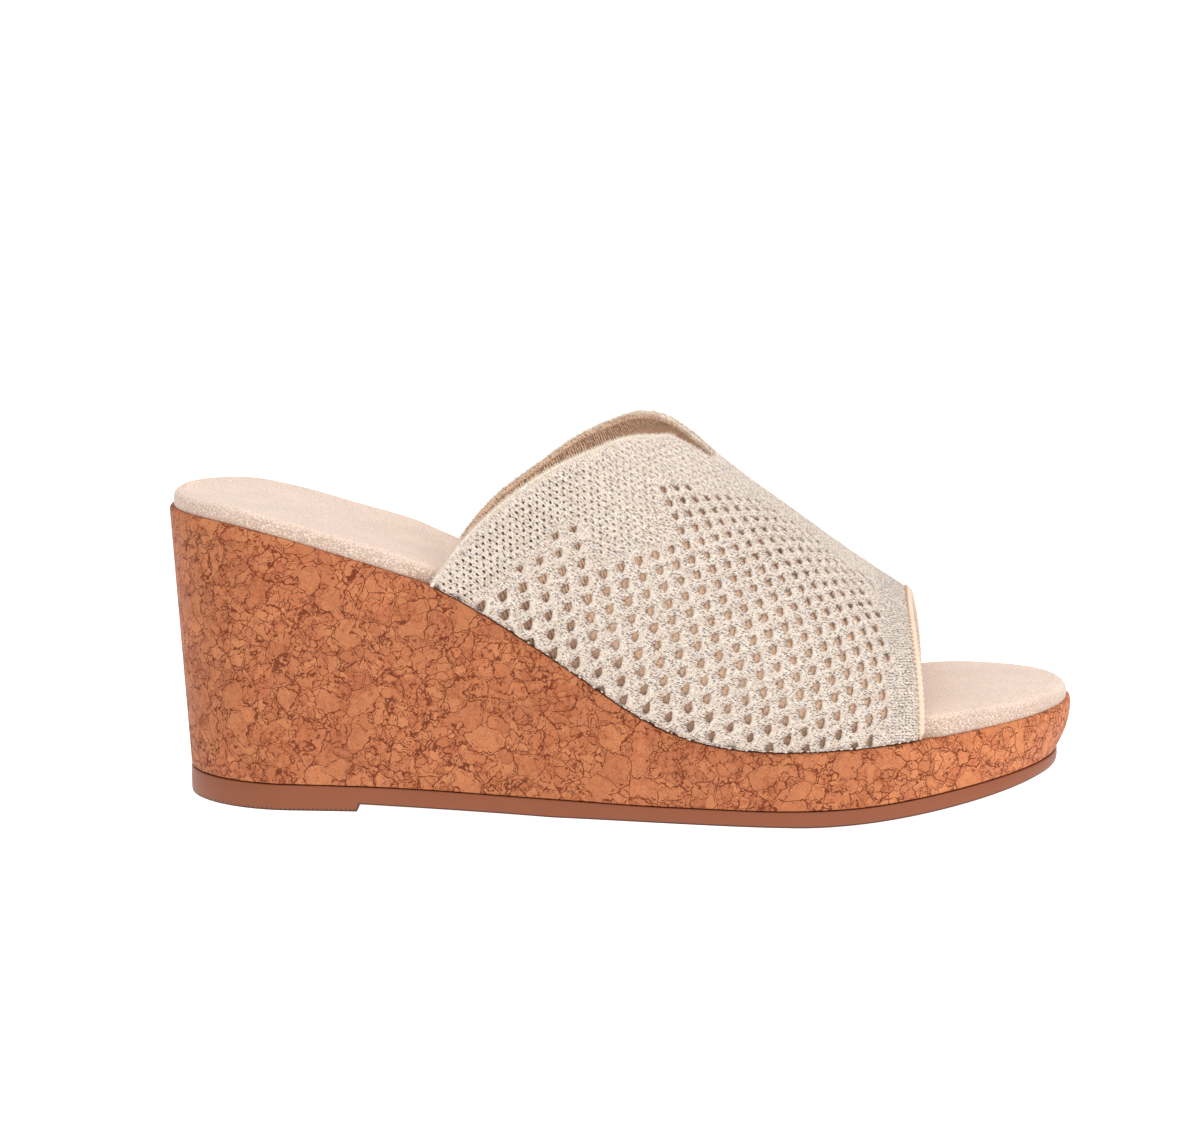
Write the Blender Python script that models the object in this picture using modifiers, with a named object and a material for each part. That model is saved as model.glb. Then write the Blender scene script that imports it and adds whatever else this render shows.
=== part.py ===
"""Right-foot wedge mule: a knitted open-toe vamp on a cork-covered wedge with a padded footbed and a rubber outsole.

+X points to the toe, +Y to the big-toe side and +Z up. The origin lies on the floor, under the middle of the shoe.
Tables and sizes are in millimetres. A station is the distance from the back of the heel along the floor.
"""

import bmesh
import bpy
import numpy as np

MM = 0.001

# Driving sizes
LENGTH = 242.0
HEEL_ROUND = 31.0
LATERAL_TOE_ROUND = 60.0
MEDIAL_TOE_ROUND = 52.0
TOE_ROUND_POWER = 2.2
TOE_SWING = 5.0
TOE_SWING_START = 150.0
JOINT_GAP = 0.3

# Sole: half widths are measured from the centre line to the wedge's rim, before heel and toe are rounded off.
# seam is the height of the joint between outsole and wedge, rim the wedge's top edge, pad the footbed's thickness.
SOLE_COLUMNS = ("station", "lateral", "medial", "seam", "rim", "pad")
SOLE_SECTIONS = (
    (0.0, 31.0, 31.0, 7.4, 77.9, 4.7),
    (18.0, 31.6, 31.2, 7.3, 76.6, 4.7),
    (50.0, 32.4, 31.4, 7.0, 68.4, 4.8),
    (72.0, 33.6, 31.2, 6.4, 61.2, 5.0),
    (94.0, 35.6, 31.6, 5.4, 49.3, 5.1),
    (114.0, 38.6, 33.2, 4.8, 36.6, 5.2),
    (130.0, 41.6, 35.6, 4.5, 26.8, 5.4),
    (146.0, 44.4, 38.2, 4.5, 21.4, 5.6),
    (165.0, 46.8, 40.6, 4.5, 20.0, 5.8),
    (185.0, 46.8, 41.4, 5.4, 21.1, 6.0),
    (212.0, 44.4, 40.8, 9.0, 24.0, 5.8),
    (242.0, 42.6, 38.5, 13.8, 27.0, 3.8),
)

# Underside: a heel pad, a shallow gap behind the forefoot, and the toe spring
TOE_SPRING = 10.6
TOE_SPRING_START = 170.0
TOE_SPRING_POWER = 1.6
HEEL_PAD_LENGTH = 53.0
HEEL_PAD_STEP = 2.0
FOREFOOT_START = 105.0

# How far the sole's side leans in from the rim down to the floor, and the share of that lean at half height
LEAN_HEEL = 5.0
LEAN_SIDE = 1.4
LEAN_TOE = 3.4
TOE_BELLY = 0.2
HEEL_BELLY = 0.5
SIDE_BELLY = 0.4
RIM_ROUND = 1.0
WEDGE_FOOT_ROUND = 0.6
OUTSOLE_EDGE = 0.5

# Footbed: it is narrower between the two stretches where the upper comes down beside it
PAD_INSET_OPEN = 1.1
PAD_INSET_UNDER_UPPER = 3.2
PAD_NARROWS = (63.5, 69.5)
PAD_WIDENS = (202.6, 208.6)
PAD_ROUND = 2.6
PAD_FOOT_ROUND = 0.3
HEEL_CUP_DEPTH = 1.2
HEEL_CUP_FADES = (50.0, 110.0)
TOE_CROWN = 0.8
TOE_CROWN_GROWS = (150.0, 200.0)

# Upper: ridge is the height of the instep line above the floor, fullness the exponent of the section's superellipse.
UPPER_COLUMNS = ("station", "ridge", "fullness")
UPPER_SECTIONS = (
    (70.0, 190.0, 2.0),
    (100.0, 145.0, 2.0),
    (130.0, 108.6, 2.0),
    (149.0, 90.6, 2.0),
    (165.0, 78.7, 2.05),
    (180.0, 67.6, 2.15),
    (205.0, 50.6, 2.3),
)
# Topline: where the collar ends at each turn of the section, from 0 at the sole to 90 on the ridge
COLLAR_COLUMNS = ("turn", "lateral", "medial")
COLLAR_CUT = (
    (0.0, 72.5, 73.5),
    (20.0, 93.8, 95.4),
    (45.0, 116.7, 116.6),
    (67.0, 132.5, 130.6),
    (79.0, 144.0, 138.4),
    (90.0, 146.6, 146.6),
)
TOE_OPENING_RIDGE = 197.4
TOE_OPENING_SIDE = 200.6
UPPER_WALL = 2.0
UPPER_INSET = 0.5
BINDING_WIDTH = 1.6
BINDING_WALL = 2.4
BINDING_ROUND = 0.5

# Mesh density: cells along and across a sole layer, and along and around the upper
SOLE_CELLS = (30, 12)
UPPER_CELLS = (22, 40)


def spline(knots, values, at):
    """Natural cubic spline through the table's points."""
    knots, values, at = (np.asarray(list_, float) for list_ in (knots, values, at))
    gap = np.diff(knots)
    rise = np.diff(values) / gap
    system = np.eye(len(knots))
    load = np.zeros(len(knots))
    for i in range(1, len(knots) - 1):
        system[i, i - 1 : i + 2] = gap[i - 1], 2 * (gap[i - 1] + gap[i]), gap[i]
        load[i] = 6 * (rise[i] - rise[i - 1])
    bend = np.linalg.solve(system, load)
    i = np.clip(np.searchsorted(knots, at) - 1, 0, len(gap) - 1)
    past, left = at - knots[i], knots[i + 1] - at
    arc = (bend[i] * left**3 + bend[i + 1] * past**3) / (6 * gap[i])
    from_left = (values[i] / gap[i] - bend[i] * gap[i] / 6) * left
    from_right = (values[i + 1] / gap[i] - bend[i + 1] * gap[i] / 6) * past
    return arc + from_left + from_right


def column(table, names, name, at):
    """One column of a table, read at a value of its first column."""
    rows = np.array(table)
    return spline(rows[:, 0], rows[:, names.index(name)], at)


def sole(name, station):
    return column(SOLE_SECTIONS, SOLE_COLUMNS, name, station)


def smooth_step(value, start, end):
    t = np.clip((value - start) / (end - start), 0.0, 1.0)
    return t * t * (3 - 2 * t)


def tread(station):
    """Height of the underside: flat on the floor, then rising to the toe."""
    past = np.clip((station - TOE_SPRING_START) / (LENGTH - TOE_SPRING_START), 0.0, 1.0)
    return TOE_SPRING * past**TOE_SPRING_POWER


def swing(station):
    """Sideways place of the centre line, which bends to the big-toe side in front of the ball."""
    past = np.clip((station - TOE_SWING_START) / (LENGTH - TOE_SWING_START), 0.0, 1.0)
    return TOE_SWING * past**2


def end_round(station, side):
    """1 along the shoe, falling to 0 round the heel and the toe."""
    toe_round = LATERAL_TOE_ROUND if side == "lateral" else MEDIAL_TOE_ROUND
    heel = np.clip(1 - station / HEEL_ROUND, 0.0, 1.0)
    toe = np.clip(1 - (LENGTH - station) / toe_round, 0.0, 1.0)
    return np.sqrt(1 - heel**2) * (1 - toe**TOE_ROUND_POWER) ** (1 / TOE_ROUND_POWER)


def half_width(station, side, inset=0.0):
    return (sole(side, station) - inset) * end_round(station, side)


def middle_of_outline():
    """Sideways middle of the rim, so that the shoe's box is centred on the origin."""
    station = np.linspace(0.0, LENGTH, 500)
    lateral = np.max(half_width(station, "lateral") - swing(station))
    medial = np.max(half_width(station, "medial") + swing(station))
    return (medial - lateral) / 2


MIDDLE = middle_of_outline()


def place(station, side, height):
    """A point in metres in the shoe's frame."""
    return ((station - LENGTH / 2) * MM, (side - MIDDLE) * MM, height * MM)


def plan(u, v, heel=0.0, side=0.0, toe=0.0):
    """Station, sideways place and share of the half width for a cell corner of a square grid, bent to the outline.

    u and v run from -1 to 1. heel, side and toe set the outline in; side may be a function of the station.
    """
    x = u * np.sqrt(1 - v * v / 2)
    y = v * np.sqrt(1 - u * u / 2)
    share = y / max(np.sqrt(max(1 - x * x, 0.0)), 1e-9)
    station = LENGTH * (1 + x) / 2
    inset = side(station) if callable(side) else side
    edge = half_width(station, "medial" if share > 0 else "lateral", inset)
    place_across = swing(station) + share * edge
    return heel + station * (LENGTH - heel - toe) / LENGTH, place_across, share


def new_object(name, mesh, material, collection):
    mesh.shade_smooth()
    mesh.set_sharp_from_angle(angle=np.radians(35))
    obj = bpy.data.objects.new(name, mesh)
    obj.data.materials.append(material)
    collection.objects.link(obj)
    return obj


def sole_layer(name, levels, material, collection):
    """A closed layer of the sole: a foot-shaped grid, drawn up through its levels.

    Each level is the outline's insets and a function of station and share that gives its height.
    """
    bm = bmesh.new()
    along, across = SOLE_CELLS
    bmesh.ops.create_grid(bm, x_segments=along, y_segments=across, size=1.0)
    keep_u = bm.verts.layers.float.new("u")
    keep_v = bm.verts.layers.float.new("v")
    for vert in bm.verts:
        vert[keep_u], vert[keep_v] = vert.co.x, vert.co.y

    def shape(verts, level):
        insets, height = level
        for vert in verts:
            station, side, share = plan(vert[keep_u], vert[keep_v], **insets)
            vert.co = place(station, side, height(station, share))

    shape(bm.verts, levels[0])
    region = list(bm.faces)
    for number, level in enumerate(levels[1:]):
        drawn = bmesh.ops.extrude_face_region(bm, geom=region)["geom"]
        shape([item for item in drawn if isinstance(item, bmesh.types.BMVert)], level)
        if number > 0:
            bmesh.ops.delete(bm, geom=region, context="FACES")
        region = [item for item in drawn if isinstance(item, bmesh.types.BMFace)]
    bmesh.ops.recalc_face_normals(bm, faces=bm.faces)
    bm.verts.layers.float.remove(keep_v)
    bm.verts.layers.float.remove(bm.verts.layers.float["u"])
    mesh = bpy.data.meshes.new(name)
    bm.to_mesh(mesh)
    bm.free()
    return new_object(name, mesh, material, collection)


def lean(share, extra=0.0):
    """Insets of the outline at a share of the side's lean, 0 at the rim and 1 at the floor."""
    return {
        "heel": LEAN_HEEL * share + extra,
        "side": LEAN_SIDE * share + extra,
        "toe": LEAN_TOE * share + extra,
    }


def make_outsole(material, collection, cutters):
    """Rubber sheet with a heel pad: the gap behind the forefoot is cut from a flat underside."""
    levels = (
        (lean(1.0, OUTSOLE_EDGE), lambda s, share: tread(s)),
        (lean(1.0, 0.0), lambda s, share: tread(s) + OUTSOLE_EDGE),
        (lean(1.0, 0.0), lambda s, share: sole("seam", s) - JOINT_GAP),
    )
    outsole = sole_layer("outsole", levels, material, collection)

    # The gap's roof falls from the heel pad to the floor, and runs on below it.
    run = FOREFOOT_START - HEEL_PAD_LENGTH
    reach = 1.2 * run
    depth = 6.0
    half_span = 60.0
    bm = bmesh.new()
    bmesh.ops.create_cube(bm, size=2.0)
    for vert in bm.verts:
        front = (vert.co.x + 1) / 2
        roof = HEEL_PAD_STEP * (1 - front * reach / run)
        height = roof if vert.co.z > 0 else -depth
        vert.co = place(HEEL_PAD_LENGTH + front * reach, vert.co.y * half_span, height)
    mesh = bpy.data.meshes.new("shank_gap")
    bm.to_mesh(mesh)
    bm.free()
    gap = bpy.data.objects.new("shank_gap", mesh)
    gap.hide_render = True
    gap.display_type = "WIRE"
    cutters.objects.link(gap)
    cut = outsole.modifiers.new("shank_gap", "BOOLEAN")
    cut.operation = "DIFFERENCE"
    cut.object = gap


def make_wedge(material, collection):
    """Cork-covered wedge: its wall leans in to the floor, and its rim is rounded."""
    corner = RIM_ROUND * (1 - np.sqrt(0.5))
    belly = {"heel": HEEL_BELLY * LEAN_HEEL, "side": SIDE_BELLY * LEAN_SIDE, "toe": TOE_BELLY * LEAN_TOE}
    levels = (
        (lean(1.0, WEDGE_FOOT_ROUND / 2), lambda s, share: sole("seam", s)),
        (lean(1.0), lambda s, share: sole("seam", s) + WEDGE_FOOT_ROUND),
        (belly, lambda s, share: (sole("seam", s) + sole("rim", s)) / 2),
        (lean(0.0), lambda s, share: sole("rim", s) - RIM_ROUND),
        (lean(0.0, corner), lambda s, share: sole("rim", s) - corner),
        (lean(0.0, RIM_ROUND), lambda s, share: sole("rim", s)),
    )
    sole_layer("wedge", levels, material, collection)


def pad_inset(station):
    """Inset of the footbed from the wedge's rim."""
    beside_upper = smooth_step(station, *PAD_NARROWS) * (1 - smooth_step(station, *PAD_WIDENS))
    return PAD_INSET_OPEN + (PAD_INSET_UNDER_UPPER - PAD_INSET_OPEN) * beside_upper


def pad_top(station, share):
    """Top of the footbed: cupped under the heel, lightly crowned under the toes."""
    hollow = HEEL_CUP_DEPTH * (1 - smooth_step(station, *HEEL_CUP_FADES))
    crown = TOE_CROWN * smooth_step(station, *TOE_CROWN_GROWS)
    return sole("rim", station) + sole("pad", station) + (crown - hollow) * (1 - share**2)


def make_insole(material, collection):
    """Padded footbed with a rounded edge."""
    corner = PAD_ROUND * (1 - np.sqrt(0.5))

    def insets(extra):
        ends = PAD_INSET_OPEN + extra
        return {"heel": ends, "toe": ends, "side": lambda s: pad_inset(s) + extra}

    def side_height(share_of_round):
        return lambda s, share: sole("rim", s) + sole("pad", s) - PAD_ROUND * share_of_round

    levels = (
        (insets(PAD_FOOT_ROUND), lambda s, share: sole("rim", s) + JOINT_GAP),
        (insets(0.0), side_height(1.0)),
        (insets(corner), side_height(1 - np.sqrt(0.5))),
        (insets(PAD_ROUND), pad_top),
    )
    sole_layer("insole", levels, material, collection)


def collar(turn):
    """Station of the topline at a turn from 0 (lateral sole) over 90 (ridge) to 180 (medial sole)."""
    side = "lateral" if turn <= 90 else "medial"
    return column(COLLAR_CUT, COLLAR_COLUMNS, side, min(turn, 180 - turn))


def toe_opening(turn):
    """Station of the upper's front edge."""
    return TOE_OPENING_RIDGE + (TOE_OPENING_SIDE - TOE_OPENING_RIDGE) * np.cos(np.radians(turn)) ** 2


def upper_point(station, turn, proud=0.0):
    """A point of the upper's outer face: a superellipse arch that springs from the wedge's rim."""
    side = "lateral" if turn <= 90 else "medial"
    outward = -1 if turn <= 90 else 1
    power = 2 / column(UPPER_SECTIONS, UPPER_COLUMNS, "fullness", station)
    foot = sole("rim", station) + JOINT_GAP
    rise = column(UPPER_SECTIONS, UPPER_COLUMNS, "ridge", station) - foot + proud
    spread = half_width(station, side, UPPER_INSET - proud)
    across = abs(np.cos(np.radians(turn))) ** power
    up = max(np.sin(np.radians(turn)), 0.0) ** power
    return place(station, swing(station) + outward * spread * across, foot + rise * up)


def arched_shell(name, start, end, rows, wall, proud, material, collection):
    """An open arch between two edge lines, given a wall on its inner side."""
    around = UPPER_CELLS[1]
    bm = bmesh.new()
    bmesh.ops.create_grid(bm, x_segments=rows, y_segments=around, size=0.5)
    for vert in bm.verts:
        turn = 180 * (vert.co.y + 0.5)
        share = vert.co.x + 0.5
        station = start(turn) + share * (end(turn) - start(turn))
        vert.co = upper_point(station, turn, proud)
    mesh = bpy.data.meshes.new(name)
    bm.to_mesh(mesh)
    bm.free()
    shell = new_object(name, mesh, material, collection)
    solid = shell.modifiers.new("wall", "SOLIDIFY")
    solid.thickness = wall * MM
    solid.offset = -1.0
    solid.use_even_offset = True
    return shell


def make_upper(material, collection):
    """Knitted vamp: one wall from the topline to the toe opening, open at collar, toe and underneath."""
    arched_shell("upper", collar, toe_opening, UPPER_CELLS[0], UPPER_WALL, 0.0, material, collection)


def make_toe_binding(material, collection):
    """Rolled edge along the toe opening, a little thicker than the knit behind it."""
    proud = (BINDING_WALL - UPPER_WALL) / 2
    binding = arched_shell(
        "toe_binding",
        lambda turn: toe_opening(turn) + JOINT_GAP,
        lambda turn: toe_opening(turn) + JOINT_GAP + BINDING_WIDTH,
        1,
        BINDING_WALL,
        proud,
        material,
        collection,
    )
    roll = binding.modifiers.new("roll", "BEVEL")
    roll.width = BINDING_ROUND * MM
    roll.segments = 2
    roll.limit_method = "ANGLE"


def new_material(name, color, roughness):
    material = bpy.data.materials.new(name)
    material.use_nodes = True
    shader = material.node_tree.nodes["Principled BSDF"]
    shader.inputs["Base Color"].default_value = (*color, 1.0)
    shader.inputs["Roughness"].default_value = roughness
    shader.inputs["Metallic"].default_value = 0.0
    return material


def main():
    for obj in list(bpy.data.objects):
        bpy.data.objects.remove(obj, do_unlink=True)
    shoe = bpy.data.collections.new("wedge_mule")
    cutters = bpy.data.collections.new("cutters")
    for collection in (shoe, cutters):
        bpy.context.scene.collection.children.link(collection)

    make_outsole(new_material("rubber", (0.36, 0.13, 0.065), 0.45), shoe, cutters)
    make_wedge(new_material("cork", (0.49, 0.17, 0.06), 0.55), shoe)
    make_insole(new_material("microsuede", (0.78, 0.60, 0.48), 0.9), shoe)
    make_upper(new_material("knit", (0.76, 0.66, 0.55), 0.85), shoe)
    make_toe_binding(new_material("edge_knit", (0.88, 0.72, 0.53), 0.85), shoe)


main()
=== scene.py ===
# %% [markdown]
# # Dressing a wedge mule
#
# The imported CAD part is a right-foot wedge mule: outsole, cork-covered wedge, padded footbed, knitted vamp
# and a rolled edge along the toe opening. Its solids have the right size but no surface. This script puts
# the real skin over each of them, in metres, in the same frame: +X to the toe, +Y to the big-toe side, +Z
# up, the origin on the floor.

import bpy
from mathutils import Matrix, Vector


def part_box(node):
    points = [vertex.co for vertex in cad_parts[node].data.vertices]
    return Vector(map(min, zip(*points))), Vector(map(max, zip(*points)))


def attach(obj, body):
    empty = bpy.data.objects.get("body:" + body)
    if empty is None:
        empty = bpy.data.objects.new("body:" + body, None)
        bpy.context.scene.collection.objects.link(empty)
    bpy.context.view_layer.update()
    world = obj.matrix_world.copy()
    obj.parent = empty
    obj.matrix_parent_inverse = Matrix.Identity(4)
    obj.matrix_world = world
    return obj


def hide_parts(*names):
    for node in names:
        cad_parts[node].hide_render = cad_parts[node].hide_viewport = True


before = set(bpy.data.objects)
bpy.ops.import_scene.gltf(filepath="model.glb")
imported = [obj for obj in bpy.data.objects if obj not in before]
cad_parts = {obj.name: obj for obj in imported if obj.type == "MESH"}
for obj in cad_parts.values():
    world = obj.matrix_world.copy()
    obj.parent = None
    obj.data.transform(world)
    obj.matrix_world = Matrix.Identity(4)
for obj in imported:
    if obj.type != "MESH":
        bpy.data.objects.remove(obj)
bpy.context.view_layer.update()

import bpy
import numpy as np
from mathutils import Vector

print("CAD nodes:", sorted(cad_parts))

# %% [markdown]
# ## The shoe's own measures
#
# A shoemaker works from a last and a pattern. Here the pattern is a short table of sections, read from heel
# to toe in millimetres: a station is the distance from the back of the heel. A natural cubic spline runs
# through each column, so a few numbers give smooth sides.

# %% Sole sections and their spline
MM = 0.001
LENGTH = 242.0
HEEL_ROUND = 31.0
TOE_ROUND = {"lateral": 60.0, "medial": 52.0}
TOE_ROUND_POWER = 2.2
SWING_START, TOE_SWING = 150.0, 5.0
SOLE_COLUMNS = ("station", "lateral", "medial", "seam", "rim", "pad")
SOLE_SECTIONS = np.array((
    (0.0, 31.0, 31.0, 7.4, 77.9, 4.7),
    (18.0, 31.6, 31.2, 7.3, 76.6, 4.7),
    (50.0, 32.4, 31.4, 7.0, 68.4, 4.8),
    (72.0, 33.6, 31.2, 6.4, 61.2, 5.0),
    (94.0, 35.6, 31.6, 5.4, 49.3, 5.1),
    (114.0, 38.6, 33.2, 4.8, 36.6, 5.2),
    (130.0, 41.6, 35.6, 4.5, 26.8, 5.4),
    (146.0, 44.4, 38.2, 4.5, 21.4, 5.6),
    (165.0, 46.8, 40.6, 4.5, 20.0, 5.8),
    (185.0, 46.8, 41.4, 5.4, 21.1, 6.0),
    (212.0, 44.4, 40.8, 9.0, 24.0, 5.8),
    (242.0, 42.6, 38.5, 13.8, 27.0, 3.8),
))


def spline(knots, values, at):
    """Natural cubic spline through the table's points."""
    at = np.asarray(at, float)
    gap = np.diff(knots)
    rise = np.diff(values) / gap
    system = np.eye(len(knots))
    load = np.zeros(len(knots))
    for i in range(1, len(knots) - 1):
        system[i, i - 1 : i + 2] = gap[i - 1], 2 * (gap[i - 1] + gap[i]), gap[i]
        load[i] = 6 * (rise[i] - rise[i - 1])
    bend = np.linalg.solve(system, load)
    i = np.clip(np.searchsorted(knots, at) - 1, 0, len(gap) - 1)
    past, left = at - knots[i], knots[i + 1] - at
    arc = (bend[i] * left**3 + bend[i + 1] * past**3) / (6 * gap[i])
    from_left = (values[i] / gap[i] - bend[i] * gap[i] / 6) * left
    from_right = (values[i + 1] / gap[i] - bend[i + 1] * gap[i] / 6) * past
    return arc + from_left + from_right


def sole(name, station):
    return spline(SOLE_SECTIONS[:, 0], SOLE_SECTIONS[:, SOLE_COLUMNS.index(name)], station)


def smooth_step(value, start, end):
    t = np.clip((value - start) / (end - start), 0.0, 1.0)
    return t * t * (3 - 2 * t)


def swing(station):
    """Sideways place of the centre line, which bends to the big-toe side in front of the ball."""
    return TOE_SWING * np.clip((station - SWING_START) / (LENGTH - SWING_START), 0.0, 1.0) ** 2


def half_width(station, side, inset=0.0):
    heel = np.clip(1 - station / HEEL_ROUND, 0.0, 1.0)
    toe = np.clip(1 - (LENGTH - station) / TOE_ROUND[side], 0.0, 1.0)
    rounding = np.sqrt(1 - heel**2) * (1 - toe**TOE_ROUND_POWER) ** (1 / TOE_ROUND_POWER)
    return (sole(side, station) - inset) * rounding


def middle_of_outline():
    """Sideways middle of the rim, so that the shoe's box is centred on the origin."""
    station = np.linspace(0.0, LENGTH, 500)
    lateral = np.max(half_width(station, "lateral") - swing(station))
    medial = np.max(half_width(station, "medial") + swing(station))
    return (medial - lateral) / 2


MIDDLE = middle_of_outline()
print("rim at heel, waist, ball, toe:", sole("rim", [0, 94, 165, 242]).round(1), "middle", round(MIDDLE, 3))


# %% From numbers to a mesh
def new_piece(name, points, faces, material=None, uv=None, fields=None):
    """A smooth-shaded mesh object from points in millimetres; uv and fields hold one value for each point."""
    place = np.array(points, float) - (0.0, MIDDLE, 0.0)
    mesh = bpy.data.meshes.new(name)
    mesh.from_pydata((place * MM).tolist(), [], faces)
    mesh.validate()
    mesh.shade_smooth()
    if uv is not None:
        corner = np.zeros(len(mesh.loops), np.int32)
        mesh.loops.foreach_get("vertex_index", corner)
        layer = mesh.uv_layers.new(name="pattern")
        layer.data.foreach_set("uv", np.asarray(uv, np.float32)[corner].ravel())
    for field, values in (fields or {}).items():
        attribute = mesh.attributes.new(field, "FLOAT", "POINT")
        attribute.data.foreach_set("value", np.asarray(values, np.float32))
    piece = bpy.data.objects.new(name, mesh)
    bpy.context.scene.collection.objects.link(piece)
    if material:
        mesh.materials.append(material)
    return piece


def report(piece):
    triangles = sum(len(face.vertices) - 2 for face in piece.data.polygons)
    low = np.min([vert.co for vert in piece.data.vertices], 0) * 1000
    high = np.max([vert.co for vert in piece.data.vertices], 0) * 1000
    print(f"{piece.name}: {triangles} triangles, {low.round(1).tolist()} to {high.round(1).tolist()} mm")


# %% [markdown]
# ## Node helpers
#
# Every finish below is a small network of shader nodes. A helper class keeps them short: a value that is a
# socket gets linked and any other value is set on the socket. Effects that several materials need become
# node groups with named sockets, so a colour or a grain size is tuned where it is used.

# %% A short way to write node trees
class Net:
    """A node tree with short calls."""

    def __init__(self, tree):
        self.tree = tree

    def feed(self, socket, value):
        if isinstance(value, bpy.types.NodeSocket):
            self.tree.links.new(value, socket)
        else:
            socket.default_value = value

    def node(self, kind, inputs=None, **settings):
        node = self.tree.nodes.new("ShaderNode" + kind)
        for name, value in settings.items():
            setattr(node, name, value)
        for name, value in (inputs or {}).items():
            self.feed(node.inputs[name], value)
        return node

    def math(self, operation, first, second=0.0):
        return self.node("Math", {0: first, 1: second}, operation=operation).outputs[0]

    def times(self, first, second):
        return self.math("MULTIPLY", first, second)

    def plus(self, first, second):
        return self.math("ADD", first, second)

    def less(self, first, second):
        return self.math("SUBTRACT", first, second)

    def larger(self, first, second):
        return self.math("MAXIMUM", first, second)

    def vector(self, operation, first, second=(0.0, 0.0, 0.0)):
        return self.node("VectorMath", {0: first, 1: second}, operation=operation).outputs[0]

    def scaled(self, vector, factor):
        return self.node("VectorMath", {0: vector, "Scale": factor}, operation="SCALE").outputs[0]

    def mix(self, factor, first, second):
        return self.node("Mix", {0: factor, 6: first, 7: second}, data_type="RGBA").outputs[2]

    def between(self, value, low, high, start=0.0, end=1.0):
        """Smooth rise from start to end while the value goes from low to high."""
        inputs = {"Value": value, "From Min": low, "From Max": high, "To Min": start, "To Max": end}
        return self.node("MapRange", inputs, interpolation_type="SMOOTHSTEP").outputs[0]

    def noise(self, vector, scale, detail=2.0, roughness=0.5):
        inputs = {"Vector": vector, "Scale": scale, "Detail": detail, "Roughness": roughness}
        return self.node("TexNoise", inputs)

    def voronoi(self, vector, scale, feature="F1"):
        return self.node("TexVoronoi", {"Vector": vector, "Scale": scale}, feature=feature)

    def field(self, name):
        """A number that the mesh carries at each point."""
        return self.node("Attribute", attribute_name=name).outputs["Fac"]

    def pattern(self):
        """The flat coordinates that the mesh carries, in millimetres."""
        return self.node("UVMap", uv_map="pattern").outputs[0]

    def group(self, name, inputs=None):
        node = self.tree.nodes.new("ShaderNodeGroup")
        node.node_tree = bpy.data.node_groups[name]
        for socket, value in (inputs or {}).items():
            self.feed(node.inputs[socket], value)
        return node


def srgb(red, green, blue):
    """A colour read from a picture, 0 to 255, as the linear colour that shaders use."""
    value = np.array((red, green, blue)) / 255
    linear = np.where(value <= 0.04045, value / 12.92, ((value + 0.055) / 1.055) ** 2.4)
    return (*linear.tolist(), 1.0)


def new_group(name, inputs, outputs):
    """An empty node group; inputs and outputs are lists of (name, kind, default)."""
    tree = bpy.data.node_groups.new(name, "ShaderNodeTree")
    for in_out, sockets in (("INPUT", inputs), ("OUTPUT", outputs)):
        for socket_name, kind, default in sockets:
            socket = tree.interface.new_socket(socket_name, in_out=in_out, socket_type="NodeSocket" + kind)
            if default is not None:
                socket.default_value = default
    start = tree.nodes.new("NodeGroupInput")
    end = tree.nodes.new("NodeGroupOutput")
    return Net(tree), start.outputs, end.inputs


def new_material(name, roughness, sheen=0.0):
    """A material with its shader; returns the material, its net and the shader's inputs."""
    material = bpy.data.materials.new(name)
    material.use_nodes = True
    net = Net(material.node_tree)
    shader = material.node_tree.nodes["Principled BSDF"]
    shader.inputs["Roughness"].default_value = roughness
    shader.inputs["Sheen Weight"].default_value = sheen
    return material, net, shader.inputs


# %% Shared effects: millimetre coordinates, tone and nap
net, _, result = new_group("millimetres", [], [("Vector", "Vector", None)])
place = net.node("TexCoord").outputs["Object"]
net.feed(result["Vector"], net.scaled(place, 1000.0))

net, given, result = new_group(
    "soft_tone",
    [("Vector", "Vector", None), ("Color", "Color", (0.5, 0.5, 0.5, 1)), ("Patch", "Float", 0.05),
     ("Grain", "Float", 3.0), ("Depth", "Float", 0.1)],
    [("Color", "Color", None), ("Height", "Float", None)],
)
patches = net.noise(given["Vector"], given["Patch"], 3.0).outputs[0]
grain = net.noise(given["Vector"], given["Grain"], 3.0, 0.6).outputs[0]
swing_of_tone = net.plus(net.times(patches, 0.6), net.times(grain, 0.4))
factor = net.times(net.less(swing_of_tone, 0.5), given["Depth"])
gain = net.plus(1.0, net.times(factor, 2.0))
net.feed(result["Color"], net.scaled(given["Color"], gain))
net.feed(result["Height"], grain)

net, given, result = new_group(
    "nap",
    [("Vector", "Vector", None), ("Color", "Color", (0.8, 0.6, 0.5, 1)), ("Light", "Color", (1, 1, 1, 1)),
     ("Dark", "Color", (0.4, 0.3, 0.2, 1)), ("Speckle", "Float", 0.3)],
    [("Color", "Color", None), ("Height", "Float", None)],
)
fibre = net.noise(net.vector("MULTIPLY", given["Vector"], (1.0, 1.4, 1.4)), 1.9, 4.0, 0.7).outputs[0]
brush = net.noise(given["Vector"], 0.09, 3.0, 0.55).outputs[0]
light = net.times(net.between(fibre, 0.5, 0.64), given["Speckle"])
dark = net.times(net.between(fibre, 0.48, 0.34), given["Speckle"])
tone = net.scaled(given["Color"], net.between(brush, 0.3, 0.7, 0.95, 1.05))
net.feed(result["Color"], net.mix(dark, net.mix(light, tone, given["Light"]), given["Dark"]))
net.feed(result["Height"], fibre)

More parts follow.
